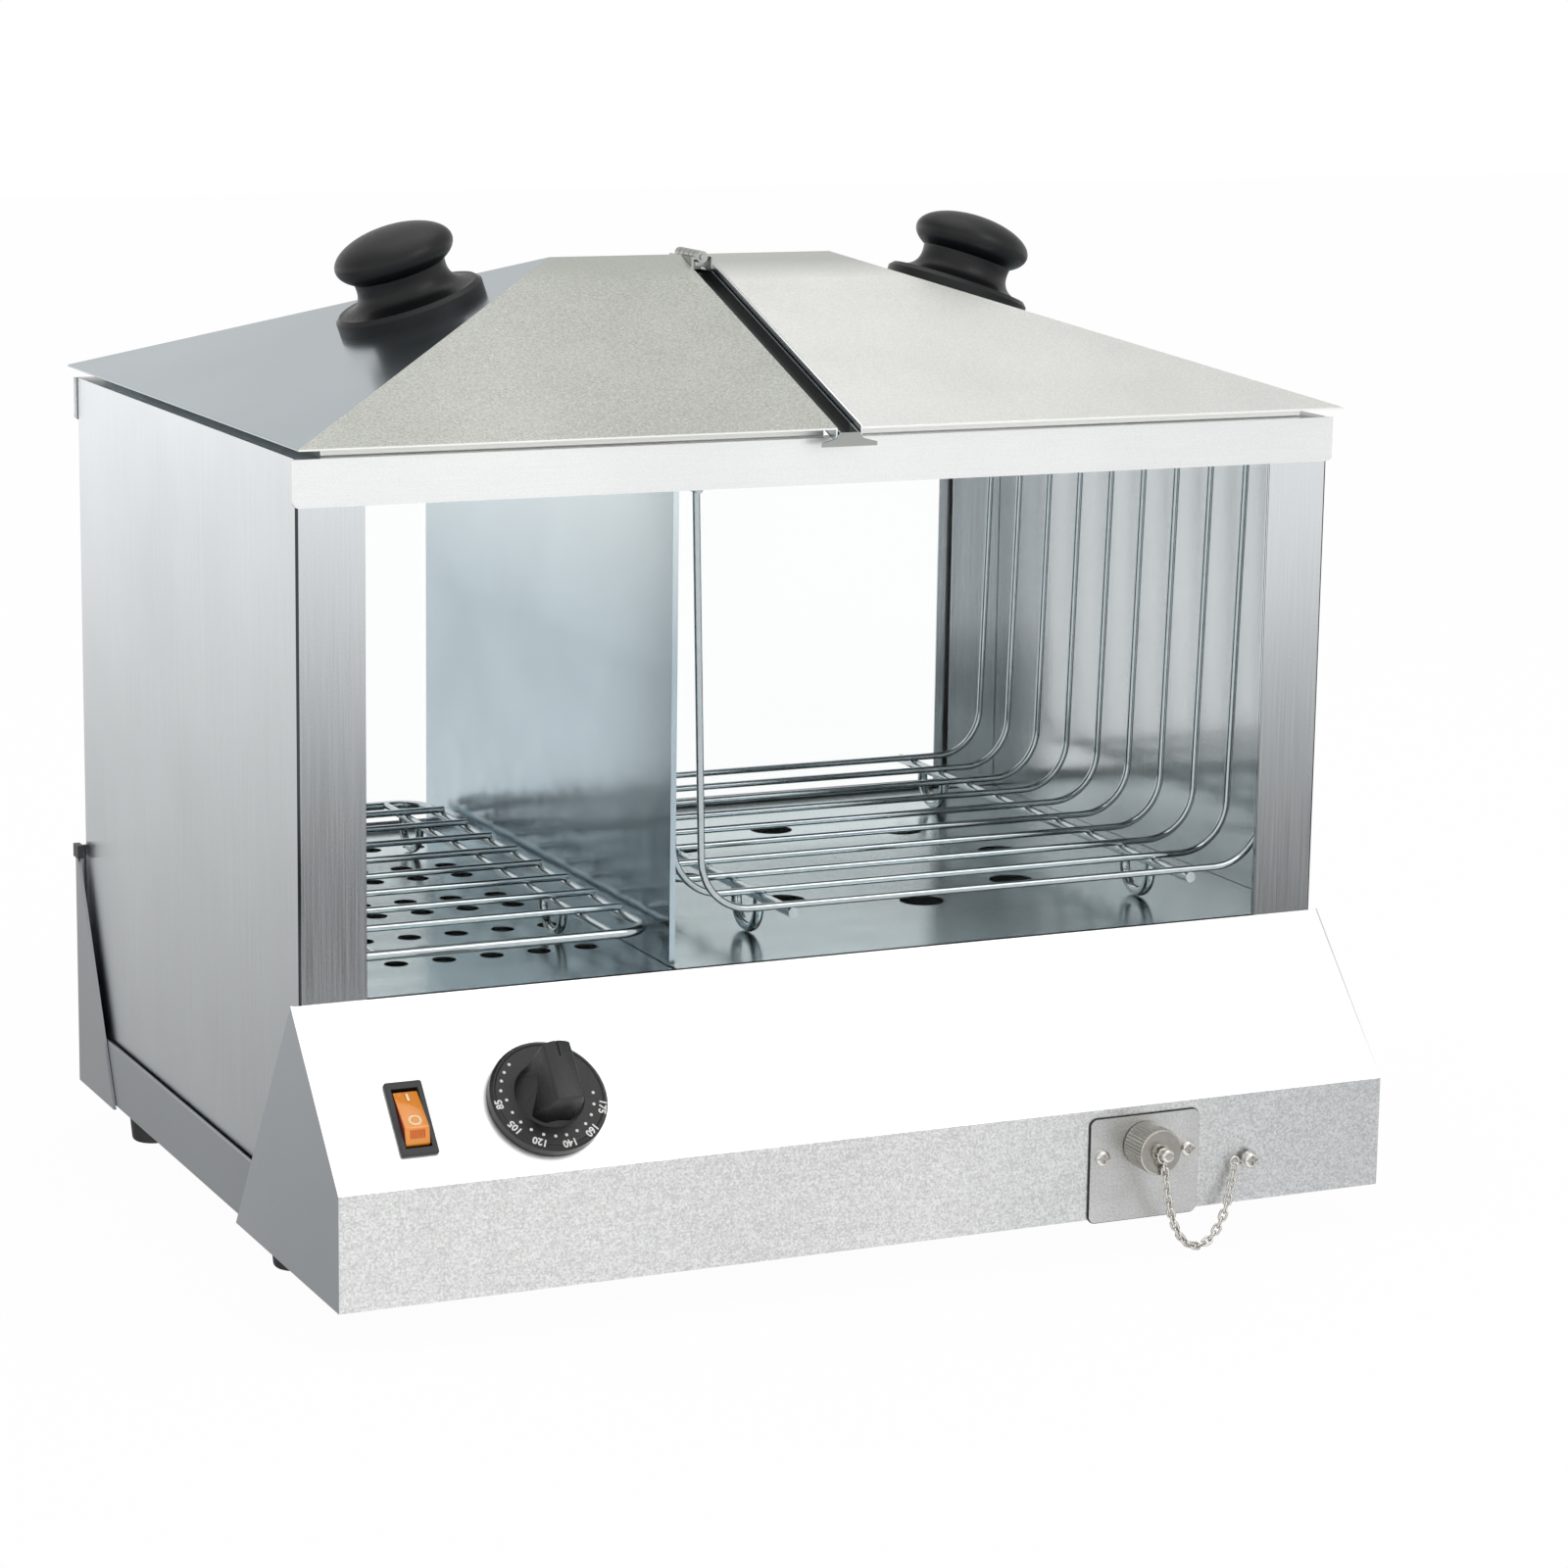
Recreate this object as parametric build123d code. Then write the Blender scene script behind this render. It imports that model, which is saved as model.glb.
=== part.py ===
from build123d import *
import os
from math import asinh, atan2, cos, degrees, hypot, log, pi, radians, sin, tan

# Countertop hot dog steamer. Millimetres, +Z up, X to the right, Y to the rear.
# Pieces are drawn with the cabinet's front face at Y = 0 and the table at Z = 0.
# save() then moves them back or forward, so that the origin is the middle of the
# footprint on the table.
os.makedirs("parts", exist_ok=True)

# ---- sheet metal and fits ------------------------------------------------------
sheet = 1.2                 # cabinet, base, housing and frame
thin_sheet = 0.8            # lids, gutter and water tank
lap_gap = 0.2               # between two sheets that lap each other
loose_gap = 0.4             # beside a piece that is lifted out by hand
running_gap = 0.05          # round a turning shaft or pin

# ---- cabinet -------------------------------------------------------------------
cabinet_width = 449.7
cabinet_depth = 295.7
foot_height = 21.0
lower_body_height = 103.5   # underside of the base to the window sill
window_height = 191.5
rail_height = 18.4
rail_projection = 1.5       # top rails stand proud of the posts
front_post_width = 27.4
rear_post_width = 31.3
rail_corner_radius = 2.4
side_ledge_width = 12.0     # top frame's flange along the side panels
end_ledge_width = 8.0       # top frame's flange behind each rail
base_flange_height = 26.7

# ---- control housing -----------------------------------------------------------
housing_overhang = 3.75     # housing beyond each side of the cabinet
housing_projection = 55.0
housing_drop = 3.1          # fascia's lower edge below the base
fascia_height = 46.0
cheek_foot_length = 71.3    # cheek's lower edge behind the cabinet front
housing_return = 12.0       # flange under the fascia

# ---- rear cover ----------------------------------------------------------------
rear_cover_height = 106.0
rear_cover_cheek_length = 54.0
rear_cover_return = 14.0

# ---- glass, walls and tank -----------------------------------------------------
glass_thickness = 3.0
glass_side_lap = 8.0        # glass behind each post
glass_top_lap = 14.0        # glass behind each rail
retainer_thickness = 1.0
wall_flange = 10.5          # ledge that carries the tank rim
tank_depth = 64.0
tank_wall_offset = 8.0      # tank wall inside its rim
rim_thickness = 1.0
floor_plate_thickness = 1.0
floor_plate_side_gap = 0.4

# ---- compartments --------------------------------------------------------------
bun_compartment_width = 158.15  # cabinet side to the middle of the divider
divider_thickness = 1.2
divider_height = 202.0      # above the floor plates
divider_front_gap = 4.5     # behind the front glass
divider_rear_gap = 2.0
divider_tongue = 3.0        # hangs below the floor plates, into the tank's mouth
divider_tongue_inset = 12.0
divider_hem = 6.0           # folded edge along the front of the divider
small_hole_radius = 4.9
small_hole_pitch = 20.4
small_hole_columns = 7
small_hole_front_row = 53.0
small_hole_rear_margin = 38.7  # last row to the cabinet's rear face
small_hole_edge = 17.5      # first column left of the plate's edge
big_hole_radius = 9.6
big_hole_circle_radius = 77.5
big_hole_circle_right = 0.9  # circle's centre right of the compartment's middle
big_hole_circle_back = 8.15  # and behind it
big_hole_count = 8

# ---- bun rack ------------------------------------------------------------------
rack_wire = 3.0
rack_frame_wire = 4.0
rack_rail_wire = 3.6        # the two rails under the cross wires, and the feet
rack_divider_gap = 6.3      # frame wire's axis to the middle of the divider
rack_side_gap = 17.85       # frame wire's axis to the cabinet side
rack_front_y = 13.0
rack_rear_gap = 14.7        # frame wire's axis to the cabinet's rear face
rack_corner_radius = 14.0
rack_stand_height = 14.5    # frame wire's axis above the floor plate
rack_cross_wires = 8
rack_first_wire_gap = 32.5  # behind the front frame wire
rack_last_wire_gap = 29.7   # in front of the rear frame wire
rack_rail_inset = 17.0
rack_foot_half_width = 11.0
rack_front_foot_inset = 64.0
rack_rear_foot_inset = 34.0
weld_depth = 0.6            # how far crossing wires are fused into each other

# ---- sausage basket ------------------------------------------------------------
basket_wire = 3.0
basket_top_wire = 3.4       # a little thicker than the hoops welded to it
basket_rail_wire = 4.5
basket_divider_gap = 9.7    # side wire's axis to the middle of the divider
basket_side_gap = 15.45     # side wire's axis to the cabinet side
basket_lean = 1.5           # degrees that each side leans out
basket_corner_radius = 22.0
basket_hoops = 10
basket_first_hoop_y = 10.5
basket_last_hoop_gap = 25.1  # in front of the cabinet's rear face
basket_left_rail_inset = 44.0
basket_right_rail_inset = 38.4
basket_rail_height = 17.5   # rail's axis above the floor plate
basket_rail_front_y = 8.5
basket_rail_rear_gap = 11.2
basket_foot_half_width = 11.0
basket_front_foot_y = 54.0
basket_rear_foot_gap = 45.7
basket_top_wire_drop = 1.0  # axis below the top rails
basket_top_wire_front_y = 7.4
basket_top_wire_rear_gap = 19.7
wire_foot_bend = 10.0       # bend of each wire foot
rest_gap = 0.2              # under the feet of the rack and basket

# ---- lids ----------------------------------------------------------------------
lid_side_overhang = 1.75
lid_eave_overhang = 9.0
lid_eave_gap = 4.7          # eave above the top rail
ridge_rise = 55.6
ridge_half_length = 64.1
lid_seam_half_gap = 5.0
lid_lip_setback = 13.0
lid_rest_gap = 0.2          # lip above the top frame when shut
seam_flange_height = 5.0

# ---- centre gutter and hinge ---------------------------------------------------
gutter_half_width = 4.4
gutter_depth = 6.3          # gutter floor below the lids' top face
gutter_wall_drop = 1.8      # gutter wall's top below the lids' top face
gutter_tab_half_width = 11.9
gutter_tab_drop = 7.3       # tab's lower edge below the eaves
gutter_tab_edge = 1.6       # upright part at each end of the tab
hinge_pin_radius = 1.2
knuckle_radius = 2.5
knuckle_length = 4.4
knuckle_gap = 0.4
hinge_axis_drop = 0.4       # hinge axis below the ridge
leaf_thickness = 1.0
leaf_height = 5.0
leaf_web_height = 1.0
hinge_clear_length = 15.0   # gutter walls are cut away this far from the hinge middle

# ---- lid knobs -----------------------------------------------------------------
knob_setback = 101.9        # knob's middle inside the lid's end
knob_base_radius = 31.3
knob_base_height = 6.2
knob_base_bevel = 1.8
knob_neck_radius = 19.5
knob_dome_radius = 25.2
knob_dome_half_height = 11.2
knob_height = 36.0
knob_screw_radius = 2.5
knob_screw_head_radius = 5.0
knob_screw_head_height = 3.0
knob_screw_depth = 14.0

# ---- rocker switch -------------------------------------------------------------
switch_inset = 32.05        # from the cabinet's left side
switch_up_slope = 28.7
bezel_width = 15.2
bezel_length = 31.6
bezel_thickness = 1.6
switch_opening_width = 10.8
switch_opening_length = 25.4
switch_body_width = 12.6
switch_body_length = 27.6
switch_body_depth = 19.0
rocker_half_travel = 9.0    # degrees either side of level
rocker_pin_radius = 1.2
rocker_pivot_depth = 3.5
rocker_side_gap = 0.35
rocker_half_length = 11.4
rocker_height = 6.7         # above the pivot, when level
rocker_dip = 1.2
terminal_width = 0.8
terminal_breadth = 4.8
terminal_length = 7.0

# ---- thermostat ----------------------------------------------------------------
dial_spacing = 55.6         # dial right of the switch
dial_up_slope = 30.3
dial_radius = 24.3
dial_skirt_thickness = 4.6
dial_skirt_bevel = 1.2
dial_gap = 0.8              # dial above the panel
dial_hub_radius = 14.5
dial_hub_top_radius = 8.5   # the hub tapers up into the grip
dial_hub_height = 9.0
dial_grip_width = 11.0
dial_grip_height = 18.5     # above the skirt
dial_grip_tip = 13.2        # round pointer end from the centre
dial_grip_tail = 11.8
dial_grip_bevel = 0.6
dial_groove_length = 7.0
dial_groove_width = 0.9
dial_groove_depth = 0.6
shaft_radius = 3.0
bush_radius = 5.5
bush_stand = 0.4            # bush above the panel
thermostat_width = 34.0
thermostat_length = 40.0
thermostat_depth = 24.0
capillary_radius = 0.9
capillary_bend = 3.0
bulb_radius = 3.0
bulb_length = 90.0
bulb_height = 21.0          # bulb axis above the tank floor
bulb_y = 30.0

# ---- heating element -----------------------------------------------------------
element_radius = 4.2
element_half_spacing = 60.0
element_height = 12.0       # element axis above the tank floor
element_rear_clearance = 40.0
element_gland_radius = 8.0
element_gland_length = 3.0
element_stub = 22.0         # cold end in front of the lower wall
element_pin_radius = 2.0
element_pin_length = 8.0
element_clip_width = 8.0
element_clip_thickness = 1.2

# ---- drain ---------------------------------------------------------------------
drain_inset = 109.25        # from the cabinet's right side
drain_height = 48.0
drain_plate_width = 50.0
drain_plate_height = 43.4
drain_plate_top_gap = 3.8   # below the fascia's upper edge
drain_plate_offset = 0.6    # plate's middle right of the drain axis
drain_plate_corner = 3.0
drain_plate_thickness = 1.2
drain_screw_spacing = 39.5
drain_screw_height = 43.9
spout_radius = 7.0
spout_bore = 5.0
spout_end_gap = 0.3         # between the spout and the cap's seal
spout_flange_radius = 11.0
spout_flange_thickness = 2.0
spout_tail_length = 30.0
drain_pipe_radius = 7.5
drain_pipe_y = 30.0
drain_pipe_bend = 8.0
drain_nut_radius = 12.0
drain_nut_height = 5.0
cap_radius = 9.7
cap_length = 14.2
cap_gap = 0.3               # cap in front of the drain plate
thread_gap = 0.08
cap_end_thickness = 2.2
cap_seal_thickness = 1.2
rivet_washer_radius = 3.6
rivet_washer_thickness = 1.0
rivet_neck_radius = 1.9
rivet_neck_length = 3.4
rivet_head_radius = 2.8
rivet_head_height = 2.2

# ---- drain cap chain -----------------------------------------------------------
chain_ring_radius = 3.0     # centre line of the ring round the rivet
chain_wire = 0.45           # radius
link_length = 5.4
link_width = 3.6
chain_links = 27            # odd, so that both end links stand alike
chain_screw_spacing = 49.3  # right of the drain
chain_screw_height = 36.3
chain_catenary = 9.6        # the smaller, the narrower the hanging loop
chain_low_height = 4.6      # lowest point of the chain's centre line
eyelet_radius = 3.6
eyelet_loop_radius = 1.9
eyelet_stand = 2.2          # eyelet in front of the fascia

# ---- fasteners -----------------------------------------------------------------
screw_head_radius = 3.3
screw_head_height = 2.2
screw_shank_radius = 1.9
screw_shank_length = 6.0
cross_slot_width = 0.9
cross_slot_depth = 1.0

# ---- feet ----------------------------------------------------------------------
foot_side_inset = 18.35
foot_front_y = 62.0
foot_rear_inset = 35.7
foot_bottom_radius = 9.0
foot_top_radius = 11.0
foot_edge_radius = 2.0
foot_bore_radius = 2.4      # hole in the base pan
foot_counterbore_radius = 5.0
foot_counterbore_depth = 9.0
foot_screw_head_radius = 4.2
foot_screw_head_height = 2.6
foot_screw_radius = 2.0
foot_nut_radius = 3.8
foot_nut_height = 3.2

# ---- supply inlet and terminals ------------------------------------------------
gland_inset = 74.85         # from the cabinet's right side
gland_height = 62.0
gland_body_radius = 8.0
gland_thread_radius = 6.0
gland_bore = 3.9
gland_body_length = 6.0
gland_dome_length = 8.0
gland_nut_thickness = 4.0
gland_tail = 4.0
gland_hole_clearance = 4.5  # round the gland, in the rear wall
terminal_block_x = -60.0
terminal_block_y = -26.0
terminal_block_length = 46.0
terminal_block_width = 16.0
terminal_block_height = 15.0
terminal_ways = 4
terminal_screw_radius = 1.8
cutout_radius = 12.0
cutout_thickness = 6.0
cutout_x = -120.0
cutout_y = 60.0
rear_screw_inset = 16.85
rear_screw_heights = (35.0, 100.0)
edge_cap_length = 5.0
edge_cap_height = 5.0
edge_cap_wall = 0.8

# ---- levels and positions that follow from the dimensions ----------------------
half_width = cabinet_width / 2
half_housing = half_width + housing_overhang
base_bottom = foot_height
base_floor = base_bottom + sheet
housing_bottom = base_bottom - housing_drop
fascia_top = housing_bottom + fascia_height
sill_top = base_bottom + lower_body_height
rail_bottom = sill_top + window_height
rail_top = rail_bottom + rail_height
eave_z = rail_top + lid_eave_gap
ridge_z = eave_z + ridge_rise
ridge_y = cabinet_depth / 2
plate_top = sill_top - floor_plate_thickness
plate_bottom = plate_top - floor_plate_thickness
rim_top = plate_bottom - lap_gap
rim_bottom = rim_top - rim_thickness
wall_top = rim_bottom - lap_gap
tank_floor = rim_top - tank_depth

panel_inner_x = half_width - sheet
wall_half = panel_inner_x - loose_gap
base_half = half_housing - sheet - lap_gap
base_front_y = -housing_projection + sheet + lap_gap
base_rear_y = cabinet_depth + lap_gap + sheet
cover_inner_y = base_rear_y + lap_gap
cover_outer_y = cover_inner_y + sheet
cover_bottom = base_bottom - lap_gap - sheet
front_wall_y = sheet + lap_gap
rear_wall_y = cabinet_depth - sheet - lap_gap
front_glass_back = front_wall_y + glass_thickness
rear_glass_front = rear_wall_y - glass_thickness
glass_half = half_width - front_post_width + glass_side_lap
rim_front_y = front_glass_back + loose_gap
rim_rear_y = rear_glass_front - loose_gap
rim_half = wall_half - loose_gap
tank_front_y = rim_front_y + tank_wall_offset
tank_rear_y = rim_rear_y - tank_wall_offset
tank_half = rim_half - tank_wall_offset
rail_front_y = -rail_projection
frame_inner_half = panel_inner_x - lap_gap
rear_screw_x = half_width - rear_screw_inset
foot_x = half_width - foot_side_inset
foot_rear_y = cabinet_depth - foot_rear_inset
gland_x = half_width - gland_inset

divider_x = bun_compartment_width - half_width
small_hole_span = cabinet_depth - small_hole_rear_margin - small_hole_front_row
small_hole_rows = 1 + round(small_hole_span / small_hole_pitch)
big_hole_circle_x = (divider_x + half_width) / 2 + big_hole_circle_right
big_hole_circle_y = cabinet_depth / 2 + big_hole_circle_back

rack_left_x = rack_side_gap - half_width
rack_right_x = divider_x - rack_divider_gap
rack_rear_y = cabinet_depth - rack_rear_gap
rack_front_foot_y = rack_front_y + rack_front_foot_inset
rack_rear_foot_y = rack_rear_y - rack_rear_foot_inset
rack_first_wire_y = rack_front_y + rack_first_wire_gap
rack_wire_span = rack_rear_y - rack_last_wire_gap - rack_first_wire_y
rack_wire_pitch = rack_wire_span / (rack_cross_wires - 1)

basket_left_x = divider_x + basket_divider_gap
basket_right_x = half_width - basket_side_gap
basket_left_rail_x = basket_left_x + basket_left_rail_inset
basket_right_rail_x = basket_right_x - basket_right_rail_inset
basket_hoop_span = cabinet_depth - basket_last_hoop_gap - basket_first_hoop_y
basket_hoop_pitch = basket_hoop_span / (basket_hoops - 1)
basket_rail_rear_y = cabinet_depth - basket_rail_rear_gap
basket_rear_foot_y = cabinet_depth - basket_rear_foot_gap
basket_top_wire_rear_y = cabinet_depth - basket_top_wire_rear_gap

switch_x = switch_inset - half_width
dial_x = switch_x + dial_spacing
drain_x = half_width - drain_inset
chain_screw_x = drain_x + chain_screw_spacing

slope_rise = sill_top - fascia_top
slope_plane = Plane(
    origin=(0, -housing_projection, fascia_top),
    x_dir=(1, 0, 0),
    z_dir=(0, -slope_rise, housing_projection),
)
slope_drop = sheet / cos(atan2(slope_rise, housing_projection))

plate_front_y = -housing_projection - drain_plate_thickness
cap_back_y = plate_front_y - cap_gap
cap_front_y = cap_back_y - cap_length
ring_y = cap_front_y - rivet_washer_thickness - rivet_neck_length * 0.6
seal_front_y = cap_front_y + cap_end_thickness
spout_front_y = seal_front_y + cap_seal_thickness + spout_end_gap
rivet_front_y = cap_front_y - rivet_washer_thickness - rivet_neck_length - rivet_head_height

gland_front_y = cover_inner_y - gland_nut_thickness
gland_rear_y = cover_outer_y + gland_body_length + gland_dome_length

# the footprint runs from the rivet on the drain cap to the supply gland
y_front = (-rivet_front_y - gland_rear_y) / 2

lid_half_length = half_width + lid_side_overhang
knob_x = lid_half_length - knob_setback
eave_front_y = -lid_eave_overhang
eave_rear_y = cabinet_depth + lid_eave_overhang
lid_run = ridge_y - eave_front_y
sheet_drop = thin_sheet / cos(atan2(ridge_rise, lid_run))
lip_bottom = rail_top + lid_rest_gap
hinge_axis_z = ridge_z - hinge_axis_drop


def save(name, shape):
    """Move a piece into the part's frame and write it."""
    export_step(Pos(0, y_front, 0) * shape, f"parts/{name}.step")


def box(x0, x1, y0, y1, z0, z1):
    """Box between two corners."""
    middle = Pos((x0 + x1) / 2, (y0 + y1) / 2, (z0 + z1) / 2)
    return middle * Box(abs(x1 - x0), abs(y1 - y0), abs(z1 - z0))


def yz_prism(points, x0, x1):
    """Solid between two X planes, from a closed outline of (y, z) points."""
    outline = make_face(Polyline(*points, close=True))
    return Pos(x0, 0, 0) * extrude(Plane.YZ * outline, x1 - x0)


def xz_prism(points, y0, y1):
    """Solid between two Y planes, from a closed outline of (x, z) points."""
    outline = make_face(Polyline(*points, close=True))
    return Pos(0, y1, 0) * extrude(Plane.XZ * outline, y1 - y0)


def forward(x, y, z):
    """Placement whose local Z points to the front."""
    return Pos(x, y, z) * Rot(X=90)


def backward(x, y, z):
    """Placement whose local Z points to the rear."""
    return Pos(x, y, z) * Rot(X=-90)


def rod(radius, z0, z1):
    """Cylinder on the local Z axis."""
    return Pos(0, 0, (z0 + z1) / 2) * Cylinder(radius, z1 - z0)


def wire(points, radius, bend):
    """Round wire through the points, with every corner bent."""
    path = FilletPolyline(*points, radius=bend)
    return sweep((path ^ 0) * Circle(radius), path=path)


def straight_wire(start, end, radius):
    """Round wire from one point to another."""
    path = Line(start, end)
    return sweep((path ^ 0) * Circle(radius), path=path)


def mirrored(shape):
    """The same piece on the other side of the cabinet."""
    return mirror(shape, about=Plane.YZ)


def round_corner(shape, x, y, radius):
    """Bend radius on the upright edge of a folded sheet at x, y."""
    edges = shape.edges().filter_by(Axis.Z)
    edges = edges.filter_by_position(Axis.X, x - 0.01, x + 0.01)
    edges = edges.filter_by_position(Axis.Y, y - 0.01, y + 0.01)
    return fillet(edges, radius)


# ---- cabinet shell -------------------------------------------------------------
def base_pan():
    """Tray under the cabinet, with low front part inside the control housing."""
    top = base_bottom + base_flange_height
    pan = box(-base_half, base_half, base_front_y, base_rear_y, base_bottom, top)
    pan -= box(-base_half + sheet, base_half - sheet, base_front_y + sheet,
               base_rear_y - sheet, base_floor, top)
    pan -= box(-base_half, base_half, base_front_y, -lap_gap, base_bottom + housing_return, top)
    for x, y in foot_places():
        pan -= Pos(x, y, 0) * rod(foot_bore_radius, 0, top)
    for place in rear_screw_places():
        pan -= place * rear_screw_hole()
    return pan


def side_panel():
    """Right side of the cabinet, folded in at the front and rear as window posts."""
    bottom = base_floor + lap_gap
    panel = box(panel_inner_x, half_width, 0, cabinet_depth, bottom, rail_top)
    post_top = rail_top - sheet - lap_gap
    panel += box(half_width - front_post_width, half_width, 0, sheet, bottom, post_top)
    rear_edge = half_width - rear_post_width
    panel += box(rear_edge, half_width, cabinet_depth - sheet, cabinet_depth, bottom, post_top)
    panel -= box(panel_inner_x, half_width, 0, sheet, post_top, rail_top)
    panel -= box(panel_inner_x, half_width, cabinet_depth - sheet, cabinet_depth,
                 post_top, rail_top)
    panel = round_corner(panel, half_width, 0, sheet * 0.9)
    panel = round_corner(panel, half_width, cabinet_depth, sheet * 0.9)
    for place in rear_screw_places():
        panel -= place * rear_screw_hole()
    return panel


def front_lower_wall():
    """Wall behind the control housing, with the ledge that carries the tank."""
    wall = box(-wall_half, wall_half, front_wall_y, front_wall_y + sheet,
               base_floor + lap_gap, wall_top)
    wall += box(-wall_half, wall_half, front_wall_y, front_wall_y + wall_flange,
                wall_top - sheet, wall_top)
    for side in (-1, 1):
        x = side * element_half_spacing
        wall -= backward(x, 0, tank_floor + element_height) * rod(element_gland_radius, 0, 6)
    wall -= backward(drain_x, 0, drain_height) * rod(drain_pipe_radius + 1, 0, 6)
    wall -= backward(dial_x, 0, tank_floor + bulb_height) * rod(capillary_radius * 3, 0, 6)
    return wall


def rear_lower_wall():
    """Wall under the rear window, with its ledge."""
    wall = box(-wall_half, wall_half, rear_wall_y - sheet, rear_wall_y,
               base_floor + lap_gap, wall_top)
    wall += box(-wall_half, wall_half, rear_wall_y - wall_flange, rear_wall_y,
                wall_top - sheet, wall_top)
    hole = gland_thread_radius + gland_hole_clearance
    wall -= forward(gland_x, cabinet_depth, gland_height) * rod(hole, 0, 8)
    for place in rear_screw_places():
        wall -= place * rear_screw_hole()
    return wall


def top_rail():
    """Front rail, with rounded lower corners."""
    half = half_width + rail_projection
    rail = box(-half, half, rail_front_y, rail_front_y + sheet, rail_bottom, rail_top)
    corners = rail.edges().filter_by(Axis.Y).group_by(Axis.Z)[0]
    return fillet(corners, rail_corner_radius)


def top_frame():
    """Welded ring round the opening: two rails and two side angles."""
    rail = top_rail()
    rear_rail = mirror(rail, about=Plane.XZ.offset(-ridge_y))
    flange = box(-frame_inner_half, frame_inner_half, rail_front_y, cabinet_depth + rail_projection,
                 rail_top - sheet, rail_top)
    opening_half = frame_inner_half - side_ledge_width
    opening_front = rail_front_y + end_ledge_width
    opening_rear = cabinet_depth + rail_projection - end_ledge_width
    flange -= box(-opening_half, opening_half, opening_front, opening_rear, rail_bottom, eave_z)
    frame = rail + rear_rail + flange
    for side in (-1, 1):
        frame += box(side * frame_inner_half, side * (frame_inner_half - sheet),
                     opening_front, opening_rear, rail_top - side_ledge_width, rail_top)
    return frame


def front_glass():
    """Fixed pane behind the front window."""
    top = rail_bottom + glass_top_lap
    pane = box(-glass_half, glass_half, front_wall_y, front_glass_back, wall_top + lap_gap, top)
    return chamfer(pane.edges().filter_by(Axis.Y), 1.0)


def glass_retainers():
    """Two strips that hold the front pane against the posts."""
    inner = glass_half - glass_side_lap * 0.8
    strips = []
    for side in (-1, 1):
        strip = box(side * inner, side * (panel_inner_x - lap_gap),
                    front_glass_back + lap_gap, front_glass_back + lap_gap + retainer_thickness,
                    plate_top + loose_gap, rail_bottom)
        strips.append(strip)
    return Compound(strips)


def to_rear(shape):
    """The same piece at the rear window."""
    turned = [mirror(solid, about=Plane.XZ.offset(-ridge_y)) for solid in shape.solids()]
    return Compound(turned) if len(turned) > 1 else turned[0]


# ---- control housing -----------------------------------------------------------
def slope_z(y):
    """Height of the sloping panel's outer face."""
    return fascia_top + (y + housing_projection) * slope_rise / housing_projection


def housing_cheek():
    """Left or right end of the control housing, drawn at X = 0."""
    corners = [
        (0, sill_top),
        (-housing_projection, fascia_top),
        (-housing_projection, housing_bottom),
        (cheek_foot_length, housing_bottom),
    ]
    return yz_prism(corners, 0, sheet)


def front_housing():
    """Sloping control panel, fascia and the two cheeks, folded from one sheet."""
    inner_y = -housing_projection + sheet
    bent = [
        (-lap_gap, slope_z(-lap_gap)),
        (-housing_projection, fascia_top),
        (-housing_projection, housing_bottom),
        (-housing_projection + housing_return, housing_bottom),
        (-housing_projection + housing_return, housing_bottom + sheet),
        (inner_y, housing_bottom + sheet),
        (inner_y, slope_z(inner_y) - slope_drop),
        (-lap_gap, slope_z(-lap_gap) - slope_drop),
    ]
    housing = yz_prism(bent, -half_housing, half_housing)
    housing += Pos(-half_housing, 0, 0) * housing_cheek()
    housing += Pos(half_housing - sheet, 0, 0) * housing_cheek()
    switch_hole = Box(switch_body_width + loose_gap, switch_body_length + loose_gap, sheet * 4)
    housing -= slope_plane * Pos(switch_x, switch_up_slope, 0) * switch_hole
    bush_hole = Cylinder(bush_radius + lap_gap, sheet * 4)
    housing -= slope_plane * Pos(dial_x, dial_up_slope, 0) * bush_hole
    housing -= forward(drain_x, inner_y, drain_height) * rod(spout_radius + lap_gap, -1, 4)
    for place in drain_screw_places():
        housing -= place * rod(screw_shank_radius + running_gap, -5, 1)
    housing -= chain_screw_place() * rod(screw_shank_radius + running_gap, -8, 1)
    return housing


# ---- rear cover ----------------------------------------------------------------
def rear_cover():
    """Cover over the foot of the rear wall, with a cheek on each side."""
    top = base_bottom + rear_cover_height
    cover = box(-half_housing, half_housing, cover_inner_y, cover_outer_y, cover_bottom, top)
    cover += box(-half_housing, half_housing, cover_outer_y - rear_cover_return,
                 cover_outer_y, cover_bottom, cover_bottom + sheet)
    cheek = yz_prism([(cover_outer_y, top), (cover_inner_y, top), (cover_inner_y, top - 1),
                      (cover_outer_y - rear_cover_cheek_length, cover_bottom),
                      (cover_outer_y, cover_bottom)], 0, sheet)
    cover += Pos(-half_housing, 0, 0) * cheek
    cover += Pos(half_housing - sheet, 0, 0) * cheek
    cover -= backward(gland_x, cover_inner_y, gland_height) * rod(gland_thread_radius, -1, 3)
    for place in rear_screw_places():
        cover -= place * rear_screw_hole()
    return cover


def cover_edge_caps(cover):
    """Plastic caps on the two upper corners of the rear cover."""
    top = base_bottom + rear_cover_height
    caps = []
    for side in (-1, 1):
        outer = half_housing + edge_cap_wall
        cap = box(side * (half_housing - sheet - edge_cap_wall), side * outer,
                  cover_inner_y - edge_cap_length, cover_outer_y + edge_cap_wall,
                  top - edge_cap_height, top + edge_cap_wall)
        caps.append(cap - cover)
    return Compound(caps)


def rear_screw_places():
    """Where the four cover screws go; local Z points out of the rear."""
    return [backward(side * rear_screw_x, cover_outer_y, z)
            for side in (-1, 1) for z in rear_screw_heights]


def rear_screw_hole():
    """Clearance for one cover screw, in its own placement."""
    return rod(screw_shank_radius + running_gap, -screw_shank_length - 1, 1)


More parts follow.
